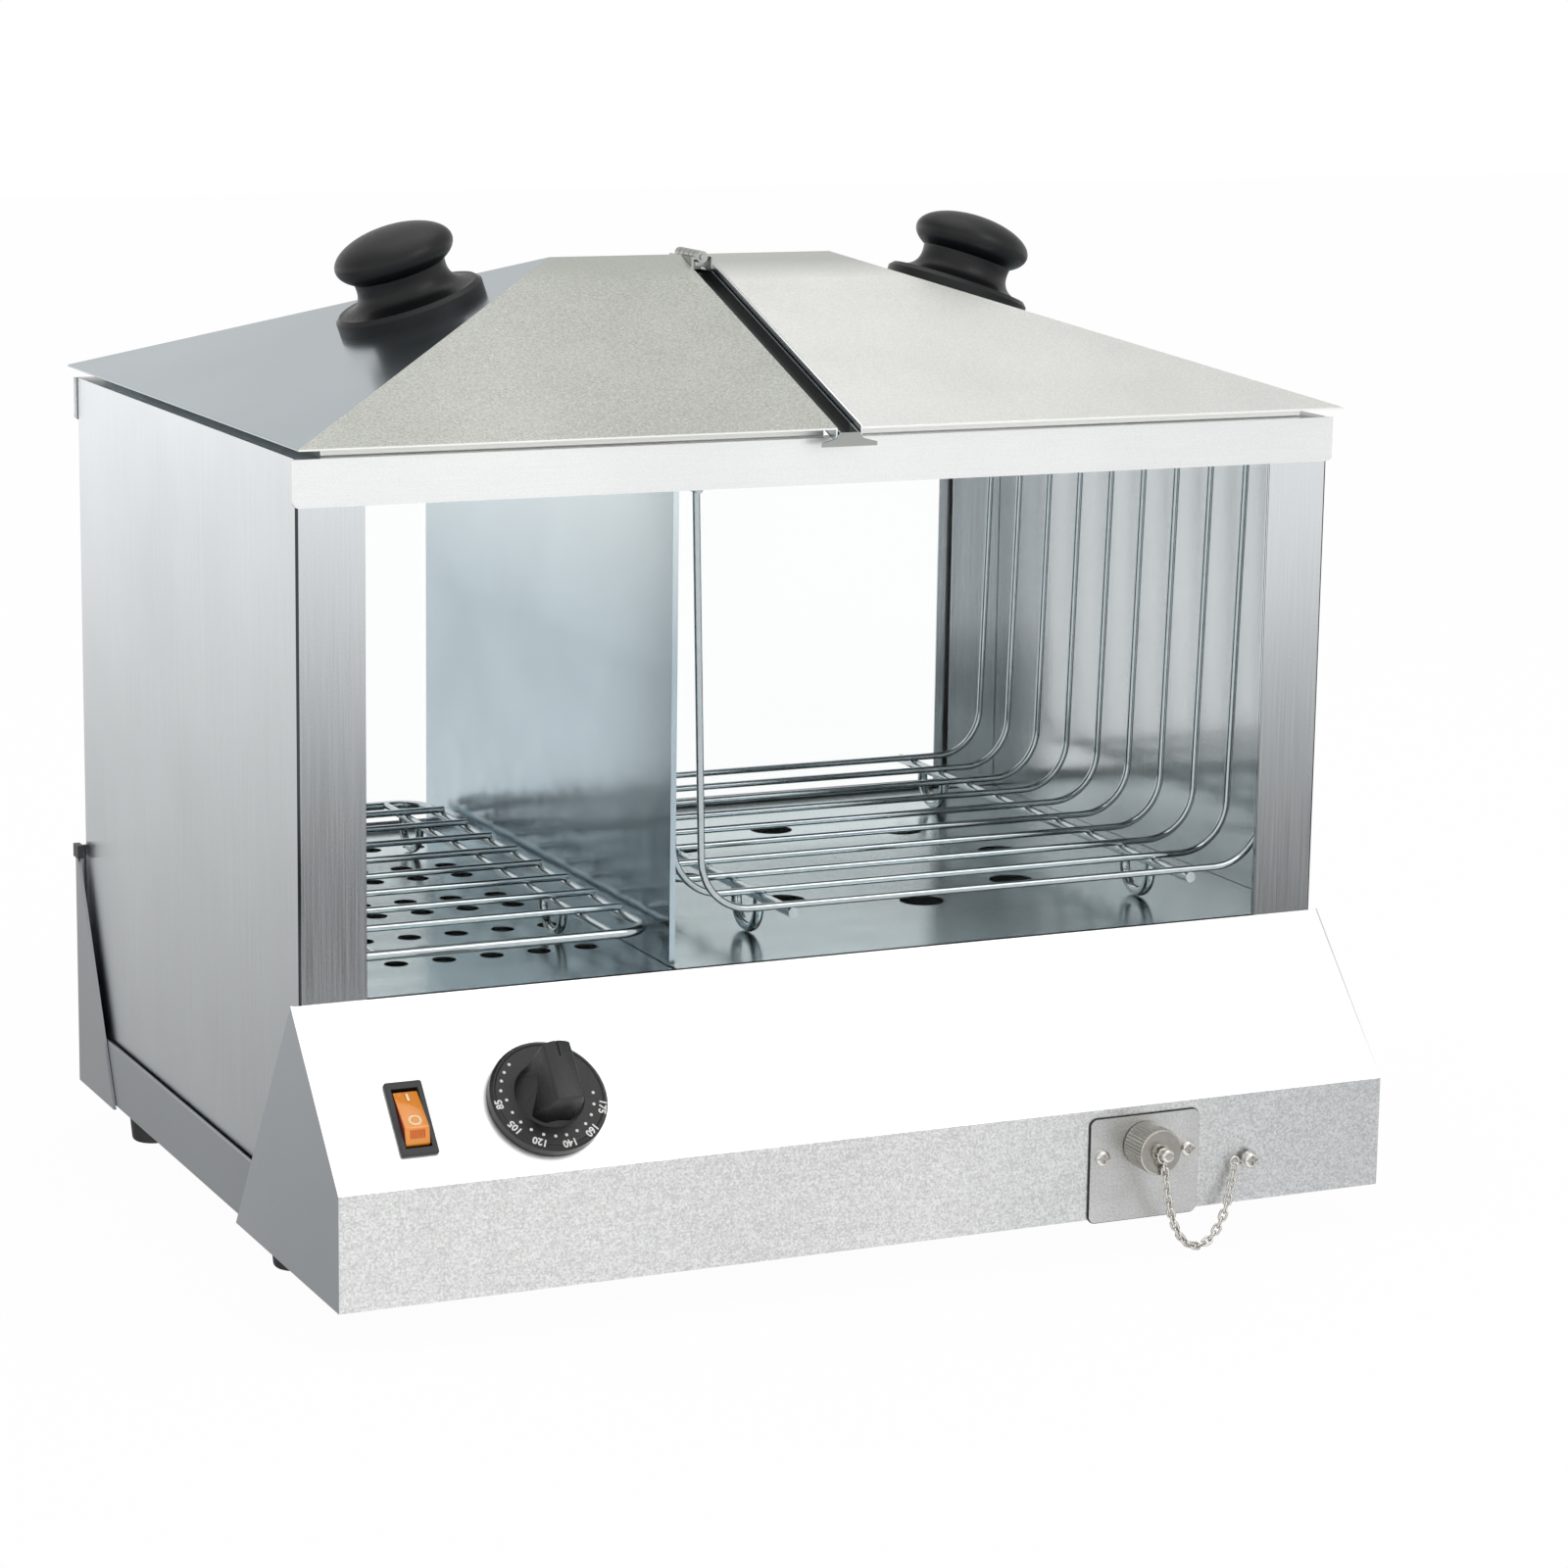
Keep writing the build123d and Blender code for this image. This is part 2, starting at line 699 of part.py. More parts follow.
# ---- tank and element ----------------------------------------------------------
def water_tank():
    """Open tank hung by its rim, with holes for the element, bulb and drain."""
    top = rim_top
    rim = box(-rim_half, rim_half, rim_front_y, rim_rear_y, rim_bottom, top)
    body = box(-tank_half, tank_half, tank_front_y, tank_rear_y,
               tank_floor - thin_sheet, rim_bottom)
    upright = body.edges().filter_by(Axis.Z)
    body = fillet(upright, tank_wall_offset)
    tank = rim + body
    inside = box(-tank_half + thin_sheet, tank_half - thin_sheet, tank_front_y + thin_sheet,
                 tank_rear_y - thin_sheet, tank_floor, top)
    inside = fillet(inside.edges().filter_by(Axis.Z), tank_wall_offset - thin_sheet)
    tank -= inside
    for side in (-1, 1):
        x = side * element_half_spacing
        hole = rod(element_radius + running_gap, -1, thin_sheet + 1)
        tank -= backward(x, tank_front_y, tank_floor + element_height) * hole
    hole = rod(capillary_radius + running_gap, -1, thin_sheet + 1)
    tank -= backward(dial_x, tank_front_y, tank_floor + bulb_height) * hole
    tank -= Pos(drain_x, drain_pipe_y, tank_floor) * rod(spout_bore, -2, 1)
    return tank


def heating_element():
    """Sheathed element: one long loop, with its cold ends in the control housing."""
    z = tank_floor + element_height
    rear = tank_rear_y - element_rear_clearance
    x = element_half_spacing
    points = [(x, -element_stub, z), (x, rear, z), (-x, rear, z), (-x, -element_stub, z)]
    element = wire(points, element_radius, element_rear_clearance)
    for side in (-1, 1):
        pin = rod(element_pin_radius, 0, element_pin_length)
        element += forward(side * x, -element_stub, z) * pin
    return element


def element_glands():
    """Nut and washer on each side of the tank wall, at both element ends."""
    z = tank_floor + element_height
    bore = element_radius + running_gap
    rings = []
    for side in (-1, 1):
        x = side * element_half_spacing
        outside = rod(element_gland_radius, 0, element_gland_length) - rod(bore, -1, 9)
        rings.append(forward(x, tank_front_y, z) * outside)
        inside = rod(element_gland_radius, 0, element_gland_length) - rod(bore, -1, 9)
        rings.append(backward(x, tank_front_y + thin_sheet, z) * inside)
    return Compound(rings)


def element_clips():
    """Two stands on the tank floor that hold the loop up."""
    z = tank_floor + element_height
    bore = element_radius + running_gap
    clips = []
    for side in (-1, 1):
        ring = rod(bore + element_clip_thickness, 0, element_clip_width)
        place = forward(side * element_half_spacing, ridge_y, z)
        post = Pos(side * element_half_spacing, ridge_y - element_clip_width / 2,
                   (tank_floor + z) / 2)
        post *= Box(element_clip_thickness * 3, element_clip_width, z - tank_floor)
        foot = Pos(side * element_half_spacing, ridge_y - element_clip_width / 2,
                   tank_floor + element_clip_thickness / 2)
        foot *= Box(element_radius * 5, element_clip_width, element_clip_thickness)
        clips.append(place * ring + post + foot - place * rod(bore, -1, 20))
    return Compound(clips)


def limit_cutout():
    """Over-temperature cut-out under the tank floor."""
    disc = rod(cutout_radius, -cutout_thickness, 0)
    disc += rod(cutout_radius * 0.55, -cutout_thickness * 2, -cutout_thickness)
    for side in (-1, 1):
        tab = box(side * 3 - 0.4, side * 3 + 0.4, -terminal_breadth / 2, terminal_breadth / 2,
                  -cutout_thickness * 2 - terminal_length, -cutout_thickness * 2)
        disc += tab
    return Pos(cutout_x, cutout_y, tank_floor - thin_sheet) * disc


# ---- compartments --------------------------------------------------------------
def plate_edges():
    """Front and rear edge of both floor plates."""
    return rim_front_y + lap_gap, rim_rear_y - lap_gap


def left_floor_plate():
    """Perforated plate under the bun rack."""
    front, rear = plate_edges()
    right = divider_x - divider_thickness / 2 - floor_plate_side_gap
    plate = box(-wall_half, right, front, rear, plate_bottom, plate_top)
    first_x = right - small_hole_edge
    for row in range(small_hole_rows):
        for column in range(small_hole_columns):
            x = first_x - column * small_hole_pitch
            y = small_hole_front_row + row * small_hole_pitch
            plate -= Pos(x, y, plate_bottom) * rod(small_hole_radius, -1, 3)
    return plate


def right_floor_plate():
    """Plate under the sausage basket, with one ring of large holes."""
    front, rear = plate_edges()
    left = divider_x + divider_thickness / 2 + floor_plate_side_gap
    plate = box(left, wall_half, front, rear, plate_bottom, plate_top)
    for k in range(big_hole_count):
        angle = 2 * pi * k / big_hole_count
        x = big_hole_circle_x + big_hole_circle_radius * cos(angle)
        y = big_hole_circle_y + big_hole_circle_radius * sin(angle)
        plate -= Pos(x, y, plate_bottom) * rod(big_hole_radius, -1, 3)
    return plate


def divider():
    """Upright sheet between the compartments, hemmed along its front edge."""
    front = front_glass_back + divider_front_gap
    rear = rear_glass_front - divider_rear_gap
    left = divider_x - divider_thickness / 2
    right = divider_x + divider_thickness / 2
    bottom = plate_top + lap_gap
    top = plate_top + divider_height
    board = box(left, right, front, rear, bottom, top)
    board += box(left, right + divider_thickness, front, front + divider_hem, bottom, top)
    board += box(left, right, tank_front_y + divider_tongue_inset,
                 tank_rear_y - divider_tongue_inset, plate_bottom - divider_tongue, bottom)
    return board


def wire_foot(x, y, rail_z, radius, half_length):
    """U of wire that stands on the floor plate under a rail."""
    floor_z = plate_top + rest_gap + radius
    points = [(x, y - half_length, rail_z), (x, y - half_length, floor_z),
              (x, y + half_length, floor_z), (x, y + half_length, rail_z)]
    return wire(points, radius, wire_foot_bend)


def bun_rack():
    """Flat wire rack: bent frame, two rails, cross wires and four feet."""
    frame_radius = rack_frame_wire / 2
    z = plate_top + rack_stand_height
    middle = Pos((rack_left_x + rack_right_x) / 2, (rack_front_y + rack_rear_y) / 2, z)
    outline = RectangleRounded(rack_right_x - rack_left_x, rack_rear_y - rack_front_y,
                               rack_corner_radius)
    path = middle * outline.wire()
    rack = sweep((path ^ 0) * Circle(frame_radius), path=path)
    cross_z = z + frame_radius + rack_wire / 2 - weld_depth
    for k in range(rack_cross_wires):
        y = rack_first_wire_y + k * rack_wire_pitch
        rack += straight_wire((rack_left_x, y, cross_z), (rack_right_x, y, cross_z), rack_wire / 2)
    rail_radius = rack_rail_wire / 2
    for x in (rack_left_x + rack_rail_inset, rack_right_x - rack_rail_inset):
        rack += straight_wire((x, rack_front_y, z), (x, rack_rear_y, z), rail_radius)
        for y in (rack_front_foot_y, rack_rear_foot_y):
            rack += wire_foot(x, y, z, rail_radius, rack_foot_half_width)
    return rack


def sausage_basket():
    """Open wire trough: U hoops on two rails, with feet and two top wires."""
    rail_radius = basket_rail_wire / 2
    hoop_radius = basket_wire / 2
    rail_z = plate_top + basket_rail_height
    bottom_z = rail_z + rail_radius + hoop_radius - weld_depth
    top_z = rail_bottom - basket_top_wire_drop
    lean = (top_z - bottom_z) * tan(radians(basket_lean))
    basket = None
    for x in (basket_left_rail_x, basket_right_rail_x):
        rail = straight_wire((x, basket_rail_front_y, rail_z), (x, basket_rail_rear_y, rail_z),
                             rail_radius)
        basket = rail if basket is None else basket + rail
        for y in (basket_front_foot_y, basket_rear_foot_y):
            basket += wire_foot(x, y, rail_z, rail_radius, basket_foot_half_width)
    for k in range(basket_hoops):
        y = basket_first_hoop_y + k * basket_hoop_pitch
        points = [(basket_left_x, y, top_z), (basket_left_x + lean, y, bottom_z),
                  (basket_right_x - lean, y, bottom_z), (basket_right_x, y, top_z)]
        basket += wire(points, hoop_radius, basket_corner_radius)
    for x in (basket_left_x, basket_right_x):
        basket += straight_wire((x, basket_top_wire_front_y, top_z),
                                (x, basket_top_wire_rear_y, top_z), basket_top_wire / 2)
    return basket


# ---- lids ----------------------------------------------------------------------
def roof_solid(drop):
    """Whole hipped roof down to the lips' level, lowered by drop."""
    floor = lip_bottom - 10
    front = yz_prism([(eave_front_y, floor), (eave_front_y, eave_z - drop),
                      (ridge_y, ridge_z - drop), (eave_rear_y, eave_z - drop),
                      (eave_rear_y, floor)], -lid_half_length, lid_half_length)
    ends = xz_prism([(-lid_half_length, floor), (-lid_half_length, eave_z - drop),
                     (-ridge_half_length, ridge_z - drop), (ridge_half_length, ridge_z - drop),
                     (lid_half_length, eave_z - drop), (lid_half_length, floor)],
                    eave_front_y, eave_rear_y)
    return front & ends


def right_lid():
    """Right half of the hipped roof: sheet, lip round the opening and seam flange."""
    under = roof_solid(sheet_drop)
    top = roof_solid(0) - under
    over_rail = box(0, lid_half_length, eave_front_y, eave_rear_y, lip_bottom, ridge_z)
    lip_front, lip_rear = eave_front_y + lid_lip_setback, eave_rear_y - lid_lip_setback
    lip_end = lid_half_length - lid_lip_setback
    lip = box(-lip_end, lip_end, lip_front, lip_rear, lip_bottom, ridge_z)
    lip -= box(-lip_end + thin_sheet, lip_end - thin_sheet, lip_front + thin_sheet,
               lip_rear - thin_sheet, lip_bottom, ridge_z)
    seam = lid_seam_half_gap
    flange = roof_solid(0) - roof_solid(seam_flange_height)
    flange &= box(seam, seam + thin_sheet, eave_front_y, eave_rear_y, lip_bottom, ridge_z)
    half = box(seam, lid_half_length, eave_front_y, eave_rear_y, lip_bottom - 5, ridge_z)
    lid = (top & half) + (lip & under & half) + (flange & over_rail)
    lid -= end_slope() * rod(knob_screw_radius + running_gap, -5, 5)
    return lid


def end_slope():
    """Placement on the right end slope at the knob, local Z out of the sheet."""
    run = lid_half_length - ridge_half_length
    z = eave_z + (lid_half_length - knob_x) * ridge_rise / run
    plane = Plane(origin=(knob_x, ridge_y, z), x_dir=(0, 1, 0), z_dir=(ridge_rise, 0, run))
    return plane.location


def knob():
    """Moulded lid knob: broad foot, waist and flattened ball."""
    dome_z = knob_height - knob_dome_half_height
    start = -acos_degrees(knob_neck_radius / knob_dome_radius)
    steps = 12
    dome = []
    for k in range(steps + 1):
        t = radians(start + (90 - start) * k / steps)
        dome.append((knob_dome_radius * cos(t), dome_z + knob_dome_half_height * sin(t)))
    dome[-1] = (0, knob_height)
    side = Polyline((0, 0), (knob_base_radius, 0),
                    (knob_base_radius, knob_base_height - knob_base_bevel),
                    (knob_base_radius - knob_base_bevel, knob_base_height),
                    (knob_base_radius - knob_base_bevel * 2, knob_base_height))
    shoulder = side @ 1
    waist = Spline((shoulder.X, shoulder.Y), (knob_neck_radius + 1.2, knob_base_height + 3.5),
                   dome[0])
    outline = side + waist + Spline(*dome) + Line((0, knob_height), (0, 0))
    turned = revolve(Plane.XZ * make_face(outline), Axis.Z)
    bore = rod(knob_screw_radius + running_gap, -1, knob_screw_depth + 0.5)
    return end_slope() * (turned - bore)


def acos_degrees(value):
    """Angle whose cosine is value."""
    return degrees(atan2((1 - value * value) ** 0.5, value))


def knob_screw():
    """Screw up through the lid into the knob."""
    under = -thin_sheet - running_gap
    screw = rod(knob_screw_radius, under - 0.1, knob_screw_depth)
    screw += rod(knob_screw_head_radius, under - knob_screw_head_height, under)
    slot = Pos(0, 0, under - knob_screw_head_height) * Box(
        knob_screw_head_radius * 1.2, cross_slot_width, cross_slot_depth * 2)
    screw -= slot
    screw -= Rot(Z=90) * slot
    return end_slope() * screw


# ---- centre gutter and hinge ---------------------------------------------------
def roof_band(drop_top, drop_bottom, x0, x1):
    """Strip along the seam between two depths below the roof's face."""
    outline = [(eave_front_y, eave_z - drop_top), (ridge_y, ridge_z - drop_top),
               (eave_rear_y, eave_z - drop_top), (eave_rear_y, eave_z - drop_bottom),
               (ridge_y, ridge_z - drop_bottom), (eave_front_y, eave_z - drop_bottom)]
    return yz_prism(outline, x0, x1)


def gutter_tab():
    """Flared tab that ends the gutter in front of the rail."""
    top = eave_z - gutter_wall_drop
    bottom = eave_z - gutter_tab_drop
    edge = bottom + gutter_tab_edge
    right = [(gutter_half_width, top), (gutter_half_width + 1.4, edge + 1.6),
             (gutter_tab_half_width, edge), (gutter_tab_half_width, bottom)]
    left = [(-x, z) for x, z in reversed(right)]
    return xz_prism(right + left, eave_front_y - thin_sheet, eave_front_y)


def centre_gutter():
    """Channel under the seam that drains to the front and rear."""
    bottom = gutter_depth + thin_sheet
    gutter = roof_band(gutter_depth, bottom, -gutter_half_width, gutter_half_width)
    for side in (-1, 1):
        gutter += roof_band(gutter_wall_drop, bottom, side * gutter_half_width,
                            side * (gutter_half_width - thin_sheet))
    gutter -= box(-gutter_half_width, gutter_half_width, ridge_y - hinge_clear_length,
                  ridge_y + hinge_clear_length, ridge_z - gutter_depth, ridge_z)
    return gutter + gutter_tab() + to_rear(gutter_tab())


def knuckle(index):
    """One of the five hinge knuckles; 0 is at the front."""
    pitch = knuckle_length + knuckle_gap
    y = ridge_y + (index - 2) * pitch
    tube = rod(knuckle_radius, -knuckle_length / 2, knuckle_length / 2)
    return y, backward(0, y, hinge_axis_z) * tube


def pin_bore():
    """Clearance for the hinge pin."""
    return backward(0, ridge_y, hinge_axis_z) * rod(hinge_pin_radius + running_gap, -20, 20)


def hinge_bracket():
    """Middle knuckle, standing on the gutter."""
    y, tube = knuckle(2)
    floor_z = ridge_z - gutter_depth
    half = knuckle_length / 2
    bracket = tube + box(-leaf_thickness, leaf_thickness, y - half, y + half,
                         floor_z, hinge_axis_z)
    bracket += box(-gutter_half_width + thin_sheet, gutter_half_width - thin_sheet,
                   y - half, y + half, floor_z, floor_z + leaf_thickness)
    return bracket - pin_bore()


def hinge_leaf(knuckles):
    """Right lid's leaf: plate against the seam flange, with its knuckles."""
    inner = lid_seam_half_gap - leaf_thickness
    half_length = 2.5 * knuckle_length + 2 * knuckle_gap
    leaf = box(inner, lid_seam_half_gap, ridge_y - half_length, ridge_y + half_length,
               hinge_axis_z - leaf_height, hinge_axis_z)
    half = knuckle_length / 2
    for index in knuckles:
        y, tube = knuckle(index)
        leaf += tube
        leaf += box(0, inner, y - half, y + half, hinge_axis_z - leaf_web_height, hinge_axis_z)
    return leaf - pin_bore()


def hinge_pin():
    """Pin through all the knuckles."""
    half_length = 2.5 * knuckle_length + 2 * knuckle_gap
    pin = rod(hinge_pin_radius, -half_length - 1, half_length + 1)
    return backward(0, ridge_y, hinge_axis_z) * pin


# ---- switch --------------------------------------------------------------------
def switch_place():
    """On the sloping panel, local Z out of the panel and local Y up the slope."""
    return slope_plane.location * Pos(switch_x, switch_up_slope, 0)


def switch_body():
    """Bezel and case of the rocker switch, with three terminals."""
    bezel = Pos(0, 0, bezel_thickness / 2) * Box(bezel_width, bezel_length, bezel_thickness)
    bezel = fillet(bezel.edges().filter_by(Axis.Z), 1.0)
    bezel = chamfer(bezel.faces().sort_by(Axis.Z)[-1].outer_wire().edges(), 0.4)
    case = Pos(0, 0, -switch_body_depth / 2) * Box(
        switch_body_width, switch_body_length, switch_body_depth)
    body = bezel + case
    depth = switch_body_depth - 1.5
    body -= Pos(0, 0, (bezel_thickness - depth) / 2) * Box(
        switch_opening_width, switch_opening_length, bezel_thickness + depth)
    hole = Cylinder(rocker_pin_radius + running_gap, switch_body_width + 2)
    body -= Pos(0, 0, -rocker_pivot_depth) * Rot(Y=90) * hole
    for k in (-1, 0, 1):
        tab = Box(terminal_breadth, terminal_width, terminal_length)
        body += Pos(0, k * 8, -switch_body_depth - terminal_length / 2) * tab
    return switch_place() * body


def rocker():
    """Rocker with its pivot pins, pressed down at its upper end."""
    half = rocker_half_length
    top = rocker_height
    outline = [(-half, top), (0, top - rocker_dip), (half, top), (half - 0.6, top - 3.2),
               (4, -3), (-4, -3), (-half + 0.6, top - 3.2)]
    width = switch_opening_width - 2 * rocker_side_gap
    body = yz_prism(outline, -width / 2, width / 2)
    body = fillet(body.edges().filter_by(Axis.X).group_by(Axis.Z)[-1], 0.6)
    pins = Rot(Y=90) * Cylinder(rocker_pin_radius, switch_body_width)
    tilted = Rot(X=-rocker_half_travel) * (body + pins)
    return switch_place() * Pos(0, 0, -rocker_pivot_depth) * tilted


# ---- thermostat ----------------------------------------------------------------
def dial_place():
    """On the sloping panel at the dial, local Z out of the panel."""
    return slope_plane.location * Pos(dial_x, dial_up_slope, 0)


def thermostat_body():
    """Thermostat behind the panel, with the bush that comes through it."""
    case = Pos(0, 0, -sheet - thermostat_depth / 2) * Box(
        thermostat_width, thermostat_length, thermostat_depth)
    case = fillet(case.edges().filter_by(Axis.Z), 2.0)
    body = case + rod(bush_radius, -sheet - 1, bush_stand)
    body -= rod(shaft_radius + running_gap, -thermostat_depth * 0.7, 5)
    for k in (-1, 1):
        tab = Box(terminal_breadth, terminal_width, terminal_length)
        body += Pos(k * 9, -12, -sheet - thermostat_depth - terminal_length / 2) * tab
    return dial_place() * body


def thermostat_shaft():
    """Shaft from the thermostat into the dial, with a flat."""
    end = dial_gap + dial_skirt_thickness + dial_hub_height
    shaft = rod(shaft_radius, -thermostat_depth * 0.6, end)
    shaft -= Pos(0, shaft_radius + 2.2, end - 5) * Box(10, 6, 10)
    return dial_place() * shaft


def thermostat_dial():
    """Knob: bevelled skirt, tapered hub and a straight grip that points up the slope."""
    skirt = rod(dial_radius, 0, dial_skirt_thickness)
    skirt = chamfer(skirt.edges().filter_by(GeomType.CIRCLE).sort_by(Axis.Z)[-1],
                    dial_skirt_bevel)
    hub = Pos(0, 0, dial_skirt_thickness + dial_hub_height / 2) * Cone(
        dial_hub_radius, dial_hub_top_radius, dial_hub_height)
    top = dial_skirt_thickness + dial_grip_height
    half = dial_grip_width / 2
    bar = box(-half, half, -dial_grip_tail, dial_grip_tip, dial_skirt_thickness, top)
    grip = bar & rod(dial_grip_tip, 0, top)
    grip = chamfer(grip.faces().sort_by(Axis.Z)[-1].outer_wire().edges(), dial_grip_bevel)
    groove = Pos(0, dial_grip_tip - dial_groove_length / 2, top) * Box(
        dial_groove_width, dial_groove_length, 2 * dial_groove_depth)
    dial = skirt + hub + grip - groove
    inner = dial_radius - 2.0
    dial -= rod(inner, -1, dial_skirt_thickness - 2.0) - rod(dial_hub_radius * 0.5, -2, 9)
    shaft_bore = rod(shaft_radius + running_gap, -1, dial_skirt_thickness + dial_hub_height + 0.3)
    dial -= shaft_bore
    return dial_place() * Pos(0, 0, dial_gap) * dial


def thermostat_bulb():
    """Capillary from the thermostat into the tank, ending in the sensing bulb."""
    depth = -sheet - thermostat_depth
    start = (dial_place() * Pos(0, 0, depth)).position
    away = (dial_place() * Pos(0, 0, depth - 8)).position
    z = tank_floor + bulb_height
    bulb_start = (dial_x + 12, bulb_y, z)
    capillary = wire([start, away, (dial_x, 0, z), (dial_x, bulb_y, z), bulb_start],
                     capillary_radius, capillary_bend)
    bulb = Pos(*bulb_start) * Rot(Y=90) * rod(bulb_radius, 0, bulb_length)
    return capillary + bulb


# ---- drain ---------------------------------------------------------------------
def drain_screw_places():
    """Left and right of the cap, local Z to the front."""
    middle = drain_x + drain_plate_offset
    half = drain_screw_spacing / 2
    return [forward(middle + side * half, plate_front_y, drain_screw_height) for side in (-1, 1)]


def drain_plate():
    """Plate that closes the drain opening in the fascia."""
    top = fascia_top - drain_plate_top_gap
    middle = drain_x + drain_plate_offset
    plate = box(middle - drain_plate_width / 2, middle + drain_plate_width / 2,
                plate_front_y, -housing_projection, top - drain_plate_height, top)
    plate = fillet(plate.edges().filter_by(Axis.Y), drain_plate_corner)
    plate -= forward(drain_x, plate_front_y, drain_height) * rod(spout_radius + lap_gap, -4, 1)
    for place in drain_screw_places():
        plate -= place * rod(screw_shank_radius + running_gap, -4, 1)
    return plate


def drain_spout():
    """Threaded outlet: flange behind the fascia, tail towards the pipe."""
    inner_y = -housing_projection + sheet
    place = forward(drain_x, inner_y, drain_height)
    length = inner_y - spout_front_y
    spout = rod(spout_radius, -spout_tail_length, length)
    spout = chamfer(spout.edges().filter_by(GeomType.CIRCLE).sort_by(Axis.Z)[-1], 0.6)
    spout += rod(spout_flange_radius, -spout_flange_thickness, 0)
    spout -= rod(spout_bore, -spout_tail_length - 1, length + 1)
    return place * spout


def drain_nut():
    """Hexagon nut on the spout, behind its flange."""
    inner_y = -housing_projection + sheet
    nut = extrude(RegularPolygon(drain_nut_radius, 6), drain_nut_height)
    nut -= rod(spout_radius + running_gap, -1, 9)
    return backward(drain_x, inner_y + spout_flange_thickness, drain_height) * nut


def drain_pipe():
    """Bent pipe from the tank floor to the spout's tail."""
    start_y = -housing_projection + sheet + spout_tail_length
    top_z = tank_floor - thin_sheet
    path = FilletPolyline((drain_x, start_y, drain_height), (drain_x, drain_pipe_y, drain_height),
                          (drain_x, drain_pipe_y, top_z), radius=drain_pipe_bend)
    pipe = sweep((path ^ 0) * Circle(drain_pipe_radius), path=path)
    bore = sweep((path ^ 0) * Circle(spout_bore), path=path)
    return pipe - bore


def cap_place():
    """On the drain axis at the cap's inner end, local Z to the front."""
    return forward(drain_x, cap_back_y, drain_height)


def drain_cap():
    """Knurled cap, drawn without the knurl, threaded on the spout."""
    cap = rod(cap_radius, 0, cap_length)
    rims = cap.edges().filter_by(GeomType.CIRCLE)
    cap = chamfer(rims, 0.8)
    cap -= rod(spout_radius + thread_gap, -1, cap_length - cap_end_thickness)
    cap -= rod(rivet_neck_radius + running_gap, cap_length - cap_end_thickness - 1, cap_length + 1)
    return cap_place() * cap


def cap_seal():
    """Washer inside the cap."""
    top = cap_length - cap_end_thickness
    seal = rod(spout_radius, top - cap_seal_thickness, top)
    seal -= rod(rivet_neck_radius + running_gap, 0, cap_length)
    return cap_place() * seal


def cap_rivet():
    """Rivet through the cap's end, with a washer and a head that keep the ring on."""
    top = cap_length - cap_end_thickness
    end = cap_length + rivet_washer_thickness + rivet_neck_length
    rivet = rod(rivet_neck_radius, top - cap_seal_thickness, end)
    rivet += rod(rivet_washer_radius, cap_length, cap_length + rivet_washer_thickness)
    head = rod(rivet_head_radius, end, end + rivet_head_height)
    head = fillet(head.edges().filter_by(GeomType.CIRCLE).sort_by(Axis.Z)[-1], 1.2)
    return cap_place() * (rivet + head)


# ---- drain cap chain -----------------------------------------------------------
def ring_drop():
    """How far the ring hangs below the rivet's axis."""
    return chain_ring_radius - chain_wire - rivet_neck_radius - running_gap


def chain_ring():
    """Ring that hangs on the rivet."""
    ring = Torus(chain_ring_radius, chain_wire)
    return forward(drain_x, ring_y, drain_height - ring_drop()) * ring


def catenary_span(rise):
    """Half span of the hanging chain for an end this far above its lowest point."""
    ratio = 1 + rise / chain_catenary
    return chain_catenary * log(ratio + (ratio * ratio - 1) ** 0.5)


def chain_ends():
    """Height of both ends above the chain's lowest point."""
    ring_z = drain_height - ring_drop() - chain_ring_radius
    loop_z = chain_screw_height - eyelet_loop_radius
    return ring_z - chain_low_height, loop_z - chain_low_height


def chain_low_x():
    """X of the chain's lowest point."""
    return drain_x + catenary_span(chain_ends()[0])


def eyelet_y():
    """Middle of the eyelet's wire."""
    return -housing_projection - eyelet_stand - chain_wire


def chain_point(s, start, end):
    """Point on the hanging chain; s is measured from its lowest point."""
    x = chain_low_x() + chain_catenary * asinh(s / chain_catenary)
    z = chain_low_height + hypot(chain_catenary, s) - chain_catenary
    y = ring_y + (eyelet_y() - ring_y) * (s - start) / (end - start)
    return Vector(x, y, z)


def chain_link():
    """One oval link along local X, wide along local Y."""
    radius = link_width / 2 - chain_wire
    straight = link_length - link_width
    path = SlotCenterToCenter(straight, radius * 2).wire()
    return sweep((path ^ 0) * Circle(chain_wire), path=path)


def drain_chain():
    """Hanging chain; every second link is turned a quarter round."""
    start = -length_on_catenary(chain_ends()[0])
    end = length_on_catenary(chain_ends()[1])
    reach = link_length / 2 - chain_wire
    pitch = (end - start + 2 * reach) / (chain_links + 1)
    link = chain_link()
    links = []
    for k in range(chain_links):
        s = start - reach + (k + 1) * pitch
        here = chain_point(s, start, end)
        along = chain_point(s + 0.5, start, end) - chain_point(s - 0.5, start, end)
        level = Vector(0, 1, 0)
        z_dir = along.cross(level) if k % 2 == 0 else along.cross(level).cross(along)
        links.append(Plane(origin=here, x_dir=along, z_dir=z_dir).location * link)
    return Compound(links)


def length_on_catenary(rise):
    """Chain length from its lowest point to an end this far above it."""
    return ((rise + chain_catenary) ** 2 - chain_catenary ** 2) ** 0.5


def chain_screw_place():
    """On the fascia, right of the drain plate."""
    return forward(chain_screw_x, -housing_projection, chain_screw_height)


